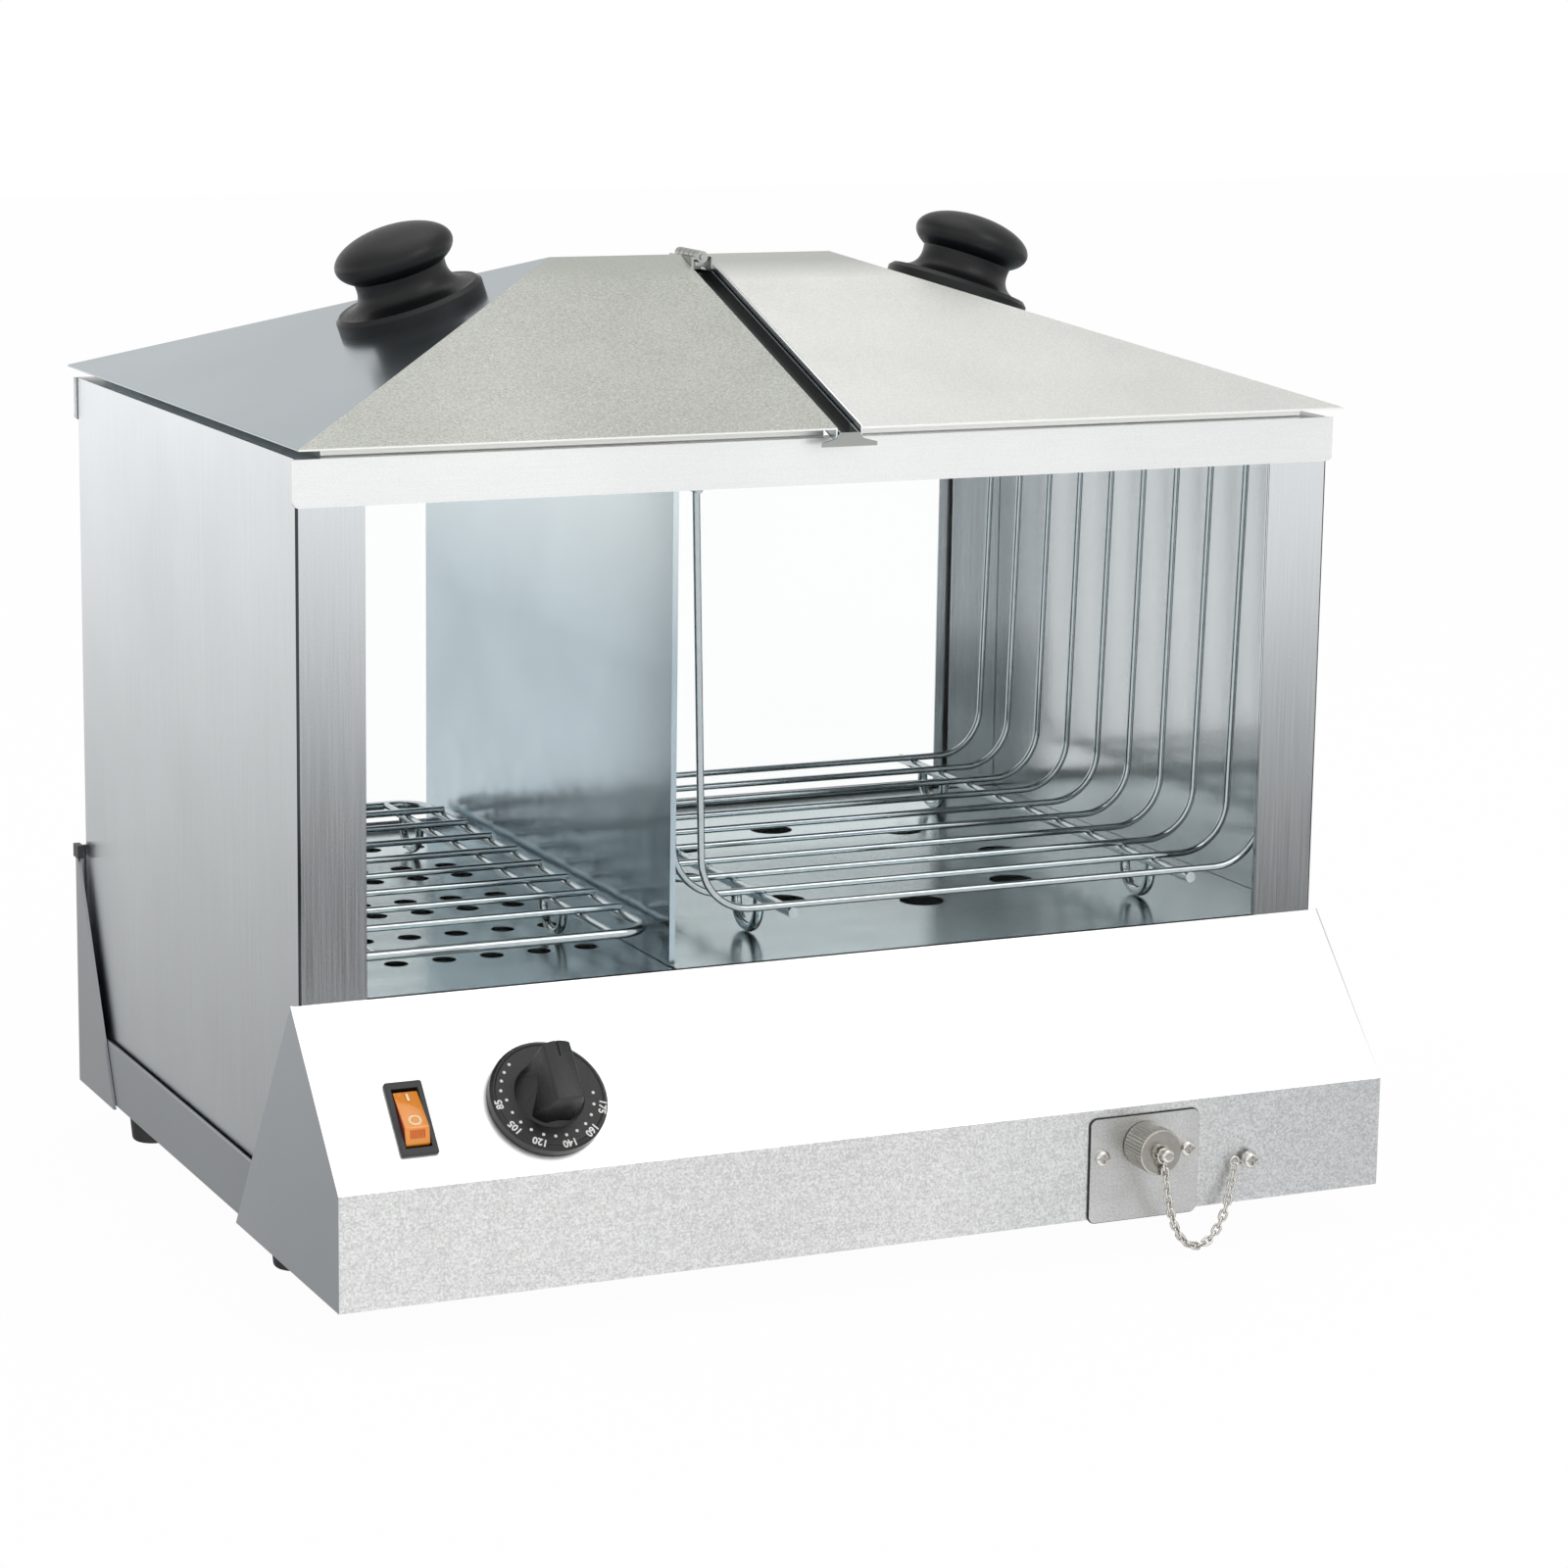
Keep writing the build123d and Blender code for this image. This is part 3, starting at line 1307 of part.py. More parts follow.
def chain_eyelet():
    """Eyelet under the chain screw, with the loop that holds the last link."""
    loop_x = chain_low_x() + catenary_span(chain_ends()[1])
    plate = rod(eyelet_radius, eyelet_stand, eyelet_stand + 2 * chain_wire)
    plate -= rod(screw_shank_radius + running_gap, 0, 9)
    eyelet = chain_screw_place() * plate
    eyelet += forward(loop_x, eyelet_y(), chain_screw_height) * Torus(eyelet_loop_radius, chain_wire)
    neck_end = chain_screw_x - eyelet_radius + 0.4
    neck_start = loop_x + eyelet_loop_radius
    eyelet += box(neck_start, neck_end, eyelet_y() - chain_wire, eyelet_y() + chain_wire,
                  chain_screw_height - chain_wire, chain_screw_height + chain_wire)
    return eyelet


# ---- fasteners -----------------------------------------------------------------
def screw(shank_length):
    """Pan-head screw with a cross slot; its head stands on local Z = 0."""
    head = rod(screw_head_radius, 0, screw_head_height)
    head = fillet(head.edges().filter_by(GeomType.CIRCLE).sort_by(Axis.Z)[-1], 1.4)
    body = head + rod(screw_shank_radius, -shank_length, 0)
    slot = Pos(0, 0, screw_head_height) * Box(
        screw_head_radius * 1.2, cross_slot_width, cross_slot_depth * 2)
    return body - slot - Rot(Z=90) * slot


def drain_plate_screws():
    """Two screws of the drain plate."""
    return Compound([place * screw(screw_shank_length) for place in drain_screw_places()])


def rear_cover_screws():
    """Four screws of the rear cover."""
    return Compound([place * screw(screw_shank_length) for place in rear_screw_places()])


def chain_screw():
    """Screw that holds the chain's eyelet off the fascia."""
    stand = eyelet_stand + 2 * chain_wire
    return chain_screw_place() * Pos(0, 0, stand) * screw(screw_shank_length + stand)


# ---- feet ----------------------------------------------------------------------
def foot_places():
    """Middle of each foot."""
    return [(side * foot_x, y) for side in (-1, 1) for y in (foot_front_y, foot_rear_y)]


def feet():
    """Four moulded rubber feet, a little wider at the top."""
    top = Pos(0, 0, foot_height) * Circle(foot_top_radius)
    body = loft([Circle(foot_bottom_radius).face(), top.face()])
    body = fillet(body.edges().sort_by(Axis.Z)[0], foot_edge_radius)
    body -= rod(foot_counterbore_radius, -1, foot_counterbore_depth)
    body -= rod(foot_screw_radius + running_gap, 0, foot_height + 1)
    return Compound([Pos(x, y, 0) * body for x, y in foot_places()])


def foot_screws():
    """Screws up through the feet."""
    bottom = foot_counterbore_depth - foot_screw_head_height
    screws = []
    for x, y in foot_places():
        body = rod(foot_screw_radius, foot_counterbore_depth - 0.5, base_floor + foot_nut_height + 2)
        body = chamfer(body.edges().filter_by(GeomType.CIRCLE).sort_by(Axis.Z)[-1], 0.4)
        body += rod(foot_screw_head_radius, bottom, foot_counterbore_depth)
        screws.append(Pos(x, y, 0) * body)
    return Compound(screws)


def foot_nuts():
    """Nuts on the base pan."""
    nuts = []
    for x, y in foot_places():
        nut = extrude(RegularPolygon(foot_nut_radius, 6), foot_nut_height)
        nut -= rod(foot_screw_radius + running_gap, -1, 9)
        nuts.append(Pos(x, y, base_floor) * nut)
    return Compound(nuts)


# ---- supply inlet and terminals ------------------------------------------------
def cord_gland():
    """Cable gland in the rear cover: thread, body and domed end."""
    body = rod(gland_body_radius, 0, gland_body_length)
    dome_end = gland_body_length + gland_dome_length
    dome = rod(gland_body_radius, gland_body_length, dome_end)
    dome = fillet(dome.edges().filter_by(GeomType.CIRCLE).sort_by(Axis.Z)[-1], 3.0)
    grip = extrude(RegularPolygon(gland_body_radius * 1.12, 6), gland_body_length)
    gland = body + dome + grip
    gland += rod(gland_thread_radius - running_gap, -sheet - gland_nut_thickness - gland_tail, 0)
    gland -= rod(gland_bore, -30, dome_end + 1)
    return backward(gland_x, cover_outer_y, gland_height) * gland


def gland_nut():
    """Lock nut inside the cover."""
    nut = extrude(RegularPolygon(gland_body_radius * 1.12, 6), gland_nut_thickness)
    nut -= rod(gland_thread_radius, -1, 9)
    return backward(gland_x, gland_front_y, gland_height) * nut


def terminal_block():
    """Supply terminal block on the base pan."""
    z = base_floor + terminal_block_height / 2
    block = Box(terminal_block_length, terminal_block_width, terminal_block_height)
    step = terminal_block_length / terminal_ways
    for k in range(terminal_ways):
        x = (k - (terminal_ways - 1) / 2) * step
        block -= Pos(x, 0, terminal_block_height / 2) * Cylinder(terminal_screw_radius, 8)
        block -= Pos(x, 0, -2) * Rot(X=90) * Cylinder(terminal_screw_radius, 40)
    for k in range(terminal_ways - 1):
        x = (k + 1 - terminal_ways / 2) * step
        block -= Pos(x, 0, terminal_block_height / 2) * Box(1.2, 40, 6)
    return Pos(terminal_block_x, terminal_block_y, z) * block


# ---- write every piece ---------------------------------------------------------
save("base_pan", base_pan())
save("right_side_panel", side_panel())
save("left_side_panel", mirrored(side_panel()))
save("front_lower_wall", front_lower_wall())
save("rear_lower_wall", rear_lower_wall())
save("top_frame", top_frame())
save("front_glass", front_glass())
save("rear_glass", to_rear(front_glass()))
save("front_glass_retainers", glass_retainers())
save("rear_glass_retainers", to_rear(glass_retainers()))
save("front_housing", front_housing())
housing_rear_cover = rear_cover()
save("rear_cover", housing_rear_cover)
save("cover_edge_caps", cover_edge_caps(housing_rear_cover))
save("water_tank", water_tank())
save("heating_element", heating_element())
save("element_glands", element_glands())
save("element_clips", element_clips())
save("limit_cutout", limit_cutout())
save("left_floor_plate", left_floor_plate())
save("right_floor_plate", right_floor_plate())
save("divider", divider())
save("bun_rack", bun_rack())
save("sausage_basket", sausage_basket())
save("right_lid", right_lid())
save("left_lid", mirrored(right_lid()))
save("right_knob", knob())
save("left_knob", mirrored(knob()))
save("right_knob_screw", knob_screw())
save("left_knob_screw", mirrored(knob_screw()))
save("centre_gutter", centre_gutter())
save("hinge_bracket", hinge_bracket())
save("hinge_pin", hinge_pin())
save("right_hinge_leaf", hinge_leaf((1, 4)))
save("left_hinge_leaf", mirrored(hinge_leaf((0, 3))))
save("switch_body", switch_body())
save("rocker", rocker())
save("thermostat_body", thermostat_body())
save("thermostat_shaft", thermostat_shaft())
save("thermostat_dial", thermostat_dial())
save("thermostat_bulb", thermostat_bulb())
save("drain_plate", drain_plate())
save("drain_plate_screws", drain_plate_screws())
save("drain_spout", drain_spout())
save("drain_nut", drain_nut())
save("drain_pipe", drain_pipe())
save("drain_cap", drain_cap())
save("cap_seal", cap_seal())
save("cap_rivet", cap_rivet())
save("chain_ring", chain_ring())
save("drain_chain", drain_chain())
save("chain_eyelet", chain_eyelet())
save("chain_screw", chain_screw())
save("feet", feet())
save("foot_screws", foot_screws())
save("foot_nuts", foot_nuts())
save("rear_cover_screws", rear_cover_screws())
save("cord_gland", cord_gland())
save("gland_nut", gland_nut())
save("terminal_block", terminal_block())
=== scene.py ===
import math
import bpy
from mathutils import Matrix, Vector


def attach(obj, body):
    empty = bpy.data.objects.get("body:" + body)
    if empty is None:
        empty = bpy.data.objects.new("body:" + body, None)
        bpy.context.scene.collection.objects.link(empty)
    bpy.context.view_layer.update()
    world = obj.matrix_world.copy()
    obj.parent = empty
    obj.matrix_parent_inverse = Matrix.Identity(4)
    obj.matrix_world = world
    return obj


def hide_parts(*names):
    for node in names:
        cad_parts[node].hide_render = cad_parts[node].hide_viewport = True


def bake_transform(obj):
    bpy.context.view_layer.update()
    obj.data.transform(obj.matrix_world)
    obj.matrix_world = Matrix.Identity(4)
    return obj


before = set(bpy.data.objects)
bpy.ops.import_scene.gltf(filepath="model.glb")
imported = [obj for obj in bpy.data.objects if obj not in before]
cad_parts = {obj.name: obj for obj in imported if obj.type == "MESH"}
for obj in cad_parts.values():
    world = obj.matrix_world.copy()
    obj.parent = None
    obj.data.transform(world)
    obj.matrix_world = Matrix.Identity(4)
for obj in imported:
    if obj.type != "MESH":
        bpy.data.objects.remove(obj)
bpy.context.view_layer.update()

# ---- Camera ----
# A long lens in front of the cabinet, a little to its left and above it, so that
# the front, the left side and the lids are all seen.
camera_data = bpy.data.cameras.new("studio_camera")
camera_data.lens = 100.85
camera_data.sensor_width = 36.0
camera_data.clip_start = 0.05
camera = bpy.data.objects.new("studio_camera", camera_data)
bpy.context.scene.collection.objects.link(camera)
turn = math.radians(-24.877)
lift = math.radians(11.433)
tilt = math.radians(0.833)
back = Vector((math.sin(turn) * math.cos(lift), -math.cos(turn) * math.cos(lift), math.sin(lift)))
level_right = Vector((0, 0, 1)).cross(back).normalized()
level_up = back.cross(level_right)
right = level_right * math.cos(tilt) + level_up * math.sin(tilt)
up = level_up * math.cos(tilt) - level_right * math.sin(tilt)
camera.matrix_world = Matrix.Translation((-0.743474, -1.673818, 0.543233)) @ Matrix(
    (right, up, back)).transposed().to_4x4()
bpy.context.scene.camera = camera
bpy.context.scene.view_settings.view_transform = "Standard"


# ---- Studio ----
# A white sweep and a white room. Polished sheet in such a room shows the bright cloths
# and the dark gaps between them, so the metal sees a room of several tones.
def srgb(hex_value):
    """Linear colour of an sRGB hex value."""
    parts = [int(hex_value[k:k + 2], 16) / 255 for k in (1, 3, 5)]
    linear = [c / 12.92 if c <= 0.04045 else ((c + 0.055) / 1.055) ** 2.4 for c in parts]
    return (*linear, 1.0)


def node(tree, kind, inputs=None, **settings):
    """Adds one node, with its settings, and fills or links its inputs."""
    added = tree.nodes.new(kind)
    for name, value in settings.items():
        setattr(added, name, value)
    for name, value in (inputs or {}).items():
        if isinstance(value, bpy.types.NodeSocket):
            tree.links.new(value, added.inputs[name])
        else:
            added.inputs[name].default_value = value
    return added


def deselect():
    """Leaves nothing selected."""
    bpy.ops.object.select_all(action="DESELECT")


deselect()
bpy.ops.mesh.primitive_plane_add(size=12, location=(0, 0, 0))
floor = bpy.context.object
floor.name = "studio_floor"
floor_paper = bpy.data.materials.new("white_sweep_paper")
floor_paper.use_nodes = True
tree = floor_paper.node_tree
tree.nodes.clear()
paper = node(tree, "ShaderNodeBsdfDiffuse", {"Color": srgb("#f2f2f2")})
white = node(tree, "ShaderNodeEmission", {"Color": (1, 1, 1, 1), "Strength": 1.0})
clear = node(tree, "ShaderNodeBsdfTransparent")
rays = node(tree, "ShaderNodeLightPath")
seen = node(tree, "ShaderNodeMath", {0: rays.outputs["Is Camera Ray"],
                                     1: rays.outputs["Is Transmission Ray"]}, operation="MAXIMUM")
share = node(tree, "ShaderNodeMath", {0: seen.outputs[0], 1: 0.97}, operation="MULTIPLY")
paper_mix = node(tree, "ShaderNodeMixShader", {0: share.outputs[0], 1: paper.outputs[0],
                                               2: white.outputs[0]})
mirrored_mix = node(tree, "ShaderNodeMixShader", {0: rays.outputs["Is Glossy Ray"],
                                                  1: paper_mix.outputs[0], 2: clear.outputs[0]})
node(tree, "ShaderNodeOutputMaterial", {"Surface": mirrored_mix.outputs[0]})
floor.data.materials.append(floor_paper)

# The room is white where it is seen directly or through glass. In the metal it has two
# halves: bright cloths at the front with one dark gap low down, greyer cloths behind.
world = bpy.data.worlds.new("studio_room")
bpy.context.scene.world = world
world.use_nodes = True
tree = world.node_tree
tree.nodes.clear()
seat = node(tree, "ShaderNodeTexCoord")
axes = node(tree, "ShaderNodeSeparateXYZ", {0: seat.outputs["Generated"]})
height = node(tree, "ShaderNodeMapRange", {"Value": axes.outputs["Z"], "From Min": -0.5,
                                           "From Max": 1.0})


def tone_ramp(name, stops):
    """Grey levels of one half of the room, by the height that a reflection points to."""
    ramp = node(tree, "ShaderNodeValToRGB", {0: height.outputs[0]}, name=name)
    for k, (level, grey) in enumerate(stops):
        place = (level + 0.5) / 1.5
        stop = ramp.color_ramp.elements[k] if k < 2 else ramp.color_ramp.elements.new(place)
        stop.position = place
        stop.color = (grey, grey, grey, 1)
    return ramp


front_tones = tone_ramp("front_cloths", [(-0.50, 1.25), (1.0, 0.95), (-0.30, 1.2), (-0.255, 0.08),
                                         (-0.225, 0.16), (-0.19, 0.50), (-0.155, 1.0),
                                         (-0.12, 1.3), (0.2, 1.2)])
rear_tones = tone_ramp("rear_cloths", [(-0.50, 0.35), (1.0, 1.0), (-0.30, 0.42), (-0.256, 0.50),
                                       (-0.192, 0.74), (-0.137, 1.02), (-0.10, 1.25),
                                       (0.15, 0.90), (0.40, 0.55), (0.72, 0.80)])
side = node(tree, "ShaderNodeMapRange", {"Value": axes.outputs["Y"], "From Min": -0.35,
                                         "From Max": 0.35}, clamp=True)
tones = node(tree, "ShaderNodeMix", {0: side.outputs[0], 6: front_tones.outputs[0],
                                     7: rear_tones.outputs[0]}, data_type="RGBA")
across = node(tree, "ShaderNodeMapRange", {"Value": axes.outputs["X"], "From Min": 0.30,
              "From Max": 0.55, "To Min": 1.06, "To Max": 0.84}, clamp=True)
cloths = node(tree, "ShaderNodeBackground", {"Color": tones.outputs[2],
                                             "Strength": across.outputs[0]})
plain = node(tree, "ShaderNodeBackground", {"Color": (1, 1, 1, 1), "Strength": 1.0})
dim = node(tree, "ShaderNodeBackground", {"Color": (1, 1, 1, 1), "Strength": 0.75})
rays = node(tree, "ShaderNodeLightPath")
seen = node(tree, "ShaderNodeMath", {0: rays.outputs["Is Camera Ray"],
                                     1: rays.outputs["Is Transmission Ray"]}, operation="MAXIMUM")
lit_mix = node(tree, "ShaderNodeMixShader", {0: rays.outputs["Is Glossy Ray"],
                                             1: dim.outputs[0], 2: cloths.outputs[0]})
room_mix = node(tree, "ShaderNodeMixShader", {0: seen.outputs[0], 1: lit_mix.outputs[0],
                                              2: plain.outputs[0]})
node(tree, "ShaderNodeOutputWorld", {"Surface": room_mix.outputs[0]})


def lamp(name, size, power, place, target):
    """Soft square lamp that faces a point."""
    data = bpy.data.lights.new(name, "AREA")
    data.shape = "SQUARE"
    data.size = size
    data.energy = power
    thing = bpy.data.objects.new(name, data)
    thing.location = place
    thing.rotation_euler = (Vector(target) - Vector(place)).to_track_quat("-Z", "Y").to_euler()
    bpy.context.scene.collection.objects.link(thing)


lamp("key_softbox", 1.2, 8, (0.7, -1.5, 1.6), (0, 0, 0.2))
lamp("top_softbox", 1.6, 6, (0, 0.1, 1.9), (0, 0, 0.3))


# ---- Side panels and base ----
# Folded 304 stainless sheet, 1.2 mm, with a brushed finish that runs up the side panels
# and their front posts and along the base. The brushing smears reflections across its run.
def stainless(name, colour, rough, brushed, contrast, grain=0.5, run=30.0, speckle=0.3,
              spread=0.0, clouds=90.0, patchy=0.35, ends=None):
    """Stainless sheet. brushed names the axis of the brush lines, and grain, run and
    clouds are their width, their length and the size of soft patches, in millimetres.
    speckle is the share of plain grains among the lines, patchy that of the patches.
    spread is how far the lines smear a reflection. ends is the colour and the roughness
    of the faces that look to the left or right, which are smoother. Their colour, mostly
    darker than the rest, is painted shade."""
    made = bpy.data.materials.new(name)
    made.use_nodes = True
    tree = made.node_tree
    shader = tree.nodes["Principled BSDF"]
    shader.inputs["Metallic"].default_value = 1.0
    shader.inputs["Anisotropic"].default_value = spread
    seat = node(tree, "ShaderNodeTexCoord")
    stretch = [1000 / run if axis == brushed else 1000 / grain for axis in "XYZ"]
    lay = node(tree, "ShaderNodeMapping", {"Vector": seat.outputs["Object"], "Scale": stretch})
    lines = node(tree, "ShaderNodeTexNoise", {"Vector": lay.outputs[0], "Scale": 1.0,
                                              "Detail": 2.0, "Roughness": 0.6})
    grains = node(tree, "ShaderNodeTexNoise", {"Vector": seat.outputs["Object"],
                                               "Scale": 1000 / grain / 1.4, "Detail": 1.0})
    patches = node(tree, "ShaderNodeTexNoise", {"Vector": seat.outputs["Object"],
                                                "Scale": 1000 / clouds, "Detail": 2.0})
    surface = node(tree, "ShaderNodeMix", {0: speckle, 2: lines.outputs["Fac"],
                                           3: grains.outputs["Fac"]}, data_type="FLOAT")
    whole = node(tree, "ShaderNodeMix", {0: patchy, 2: surface.outputs[0],
                                         3: patches.outputs["Fac"]}, data_type="FLOAT")
    spreadout = node(tree, "ShaderNodeMapRange", {"Value": whole.outputs[0], "From Min": 0.35,
                                                  "From Max": 0.65}, clamp=False)
    dark = [c * (1 - contrast) for c in srgb(colour)[:3]] + [1.0]
    light = [min(1.0, c * (1 + contrast)) for c in srgb(colour)[:3]] + [1.0]
    tone = node(tree, "ShaderNodeMix", {0: spreadout.outputs[0], 6: dark, 7: light},
                data_type="RGBA")
    gloss = node(tree, "ShaderNodeMapRange", {"Value": surface.outputs[0], "From Min": 0.3,
                 "From Max": 0.7, "To Min": rough - 0.04, "To Max": rough + 0.04}, clamp=True)
    relief = node(tree, "ShaderNodeBump", {"Height": surface.outputs[0], "Strength": 0.05,
                                           "Distance": 0.0002})
    tree.links.new(relief.outputs[0], shader.inputs["Normal"])
    if ends:
        facing = node(tree, "ShaderNodeSeparateXYZ", {0: seat.outputs["Normal"]})
        sideways = node(tree, "ShaderNodeMath", {0: facing.outputs["X"]}, operation="ABSOLUTE")
        on_end = node(tree, "ShaderNodeMapRange", {"Value": sideways.outputs[0],
                                                   "From Min": 0.08, "From Max": 0.16}, clamp=True)
        hazy = node(tree, "ShaderNodeMapRange", {"Value": patches.outputs["Fac"], "From Min": 0.3,
                                                 "From Max": 0.7}, clamp=True)
        # The ends' own colour is painted shade; their lower roughness is a real smoother finish.
        smooth_dark = [c * 0.93 for c in srgb(ends[0])[:3]] + [1.0]
        smooth_shaded_end = node(tree, "ShaderNodeMix", {0: hazy.outputs[0], 6: smooth_dark,
                                              7: srgb(ends[0])}, data_type="RGBA")
        tone = node(tree, "ShaderNodeMix", {0: on_end.outputs[0], 6: tone.outputs[2],
                                            7: smooth_shaded_end.outputs[2]}, data_type="RGBA")
        gloss = node(tree, "ShaderNodeMix", {0: on_end.outputs[0], 2: gloss.outputs[0],
                                             3: ends[1]}, data_type="FLOAT")
        plain_share = node(tree, "ShaderNodeMath", {0: 1.0, 1: on_end.outputs[0]},
                           operation="SUBTRACT")
        depth = node(tree, "ShaderNodeMath", {0: plain_share.outputs[0], 1: 0.05},
                     operation="MULTIPLY")
        tree.links.new(depth.outputs[0], relief.inputs["Strength"])
    tree.links.new(tone.outputs[2], shader.inputs["Base Color"])
    tree.links.new(gloss.outputs[0], shader.inputs["Roughness"])
    return made


def reopen(made):
    """Tree, shader and present tone of a material that gets one more layer."""
    tree = made.node_tree
    shader = tree.nodes["Principled BSDF"]
    return tree, shader, shader.inputs["Base Color"].links[0].from_socket


def dress(names, material):
    """Gives CAD nodes their finished material."""
    for name in names.split():
        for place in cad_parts[name].material_slots:
            place.material = material


def soften(names, width):
    """Rounds the sharp edges of folded or cut sheet, so that they catch the light."""
    for name in names.split():
        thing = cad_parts[name]
        weld = thing.modifiers.new("join_facets", "WELD")
        weld.merge_threshold = 0.00001
        rounding = thing.modifiers.new("sheet_edges", "BEVEL")
        rounding.width = width
        rounding.segments = 2
        rounding.limit_method = "ANGLE"
        rounding.angle_limit = math.radians(35)
        rounding.harden_normals = False


side_sheet = stainless("brushed_304_stainless_sides", "#d5d9db", 0.20, "Z", 0.08, grain=0.6,
                       run=60, spread=0.9)
dress("left_side_panel right_side_panel front_glass_retainers rear_glass_retainers", side_sheet)
base_sheet = stainless("brushed_304_stainless_base", "#a2a6a9", 0.36, "Y", 0.05, grain=0.6)
dress("base_pan front_lower_wall rear_lower_wall", base_sheet)
cover_sheet = stainless("brushed_304_stainless_cover", "#a2a5a7", 0.36, "X", 0.05, grain=0.6)
dress("rear_cover", cover_sheet)
soften("left_side_panel right_side_panel base_pan", 0.0004)


# The upright folds are painted a dark line, painted shade of the seam between the side panel and
# its post.
tree, shader, plain_tone = reopen(side_sheet)
seat = node(tree, "ShaderNodeTexCoord")
facing = node(tree, "ShaderNodeSeparateXYZ", {0: seat.outputs["Normal"]})
both = node(tree, "ShaderNodeMath", {0: facing.outputs["X"], 1: facing.outputs["Y"]},
            operation="MULTIPLY")
strength = node(tree, "ShaderNodeMath", {0: both.outputs[0]}, operation="ABSOLUTE")
fold_shade_mask = node(tree, "ShaderNodeMapRange", {"Value": strength.outputs[0], "From Min": 0.05,
                                            "From Max": 0.15}, clamp=True)
# dark colour on the fold faces: painted shade
fold_painted_shade = node(tree, "ShaderNodeMix", {0: fold_shade_mask.outputs[0], 6: plain_tone,
                                      7: srgb("#3c4042")}, data_type="RGBA")
tree.links.new(fold_painted_shade.outputs[2], shader.inputs["Base Color"])

# ---- Top frame ----
# Folded 304 stainless rail, 1.2 mm, all round the top, satin polished, with rounded
# lower corners where it laps the side panels. It is welded to them.
rail_sheet = stainless("satin_304_stainless_rail", "#f0f1f1", 0.34, "X", 0.06, speckle=0.7)
dress("top_frame", rail_sheet)
soften("top_frame", 0.0004)

# ---- Control housing ----
# One folded sheet of satin 304 stainless: sloping panel, upright fascia and two cheeks.
# It is painted almost white on the slope, a painted highlight, and shows a fine grain on the
# fascia.
housing_sheet = stainless("satin_304_stainless_housing", "#dddedd", 0.38, "X", 0.19, grain=0.6,
                          run=10, speckle=0.75, patchy=0.12, ends=("#b8bdc0", 0.33))
dress("front_housing", housing_sheet)
# The slope's colour is painted near white, a painted highlight, and the fascia and cheeks are
# painted darker towards the right end, painted shade.
tree, shader, plain_tone = reopen(housing_sheet)
seat = node(tree, "ShaderNodeTexCoord")
facing = node(tree, "ShaderNodeSeparateXYZ", {0: seat.outputs["Normal"]})
on_slope_face = node(tree, "ShaderNodeMapRange", {"Value": facing.outputs["Z"],
                                                  "From Min": 0.3, "From Max": 0.5}, clamp=True)
highlight_mottle = node(tree, "ShaderNodeTexNoise", {"Vector": seat.outputs["Object"], "Scale": 9.0})
# near white colour on the upward faces: painted highlight
slope_painted_highlight = node(tree, "ShaderNodeMix", {0: highlight_mottle.outputs["Fac"], 6: srgb("#f3f3f2"),
                                      7: srgb("#fbfbfa")}, data_type="RGBA")
slope_highlight_tone = node(tree, "ShaderNodeMix", {0: on_slope_face.outputs[0], 6: plain_tone,
                                          7: slope_painted_highlight.outputs[2]}, data_type="RGBA")
axes = node(tree, "ShaderNodeSeparateXYZ", {0: seat.outputs["Object"]})
rightward = node(tree, "ShaderNodeMapRange", {"Value": axes.outputs["X"], "From Min": 0.02,
                                              "From Max": 0.22}, clamp=True)
plain_share = node(tree, "ShaderNodeMath", {0: 1.0, 1: on_slope_face.outputs[0]},
                   operation="SUBTRACT")
# darker towards the right end: painted shade
right_shade_share = node(tree, "ShaderNodeMath", {0: rightward.outputs[0], 1: plain_share.outputs[0]},
            operation="MULTIPLY")
right_end_shade = node(tree, "ShaderNodeMix", {0: right_shade_share.outputs[0], 6: slope_highlight_tone.outputs[2],
                                       7: srgb("#e7e8eb")}, data_type="RGBA",
               blend_type="MULTIPLY")
tree.links.new(right_end_shade.outputs[2], shader.inputs["Base Color"])
soften("front_housing", 0.0004)

# ---- Tank, floor plates and divider ----
# 304 stainless with a smooth mill finish, a little blue from use. It mirrors softly.
inner_sheet = stainless("smooth_2b_stainless_inner", "#bac8ca", 0.18, "Y", 0.05, grain=0.8,
                        patchy=0.6, clouds=45)
dress("left_floor_plate right_floor_plate water_tank", inner_sheet)
divider_sheet = stainless("smooth_2b_stainless_divider", "#adbcc4", 0.20, "Z", 0.07, grain=0.8,
                          patchy=0.7, clouds=60)
dress("divider", divider_sheet)
# Its top is painted lighter, painted light, and its foot is a little dented.
tree, shader, plain_tone = reopen(divider_sheet)
plain_relief = shader.inputs["Normal"].links[0].from_socket
seat = node(tree, "ShaderNodeTexCoord")
axes = node(tree, "ShaderNodeSeparateXYZ", {0: seat.outputs["Object"]})
top_light_mask = node(tree, "ShaderNodeMapRange", {"Value": axes.outputs["Z"], "From Min": 0.24,
                                          "From Max": 0.32}, clamp=True)
top_painted_light = node(tree, "ShaderNodeMix", {0: top_light_mask.outputs[0], 6: plain_tone,
                                          7: srgb("#dfe8ea")}, data_type="RGBA")
tree.links.new(top_painted_light.outputs[2], shader.inputs["Base Color"])
low = node(tree, "ShaderNodeMapRange", {"Value": axes.outputs["Z"], "From Min": 0.20,
                                        "From Max": 0.14}, clamp=True)
dents = node(tree, "ShaderNodeTexNoise", {"Vector": seat.outputs["Object"], "Scale": 45.0,
                                          "Detail": 1.0})
dent_height = node(tree, "ShaderNodeMath", {0: dents.outputs["Fac"], 1: low.outputs[0]},
                   operation="MULTIPLY")
dented = node(tree, "ShaderNodeBump", {"Height": dent_height.outputs[0], "Strength": 0.5,
                                       "Distance": 0.002, "Normal": plain_relief})
tree.links.new(dented.outputs[0], shader.inputs["Normal"])


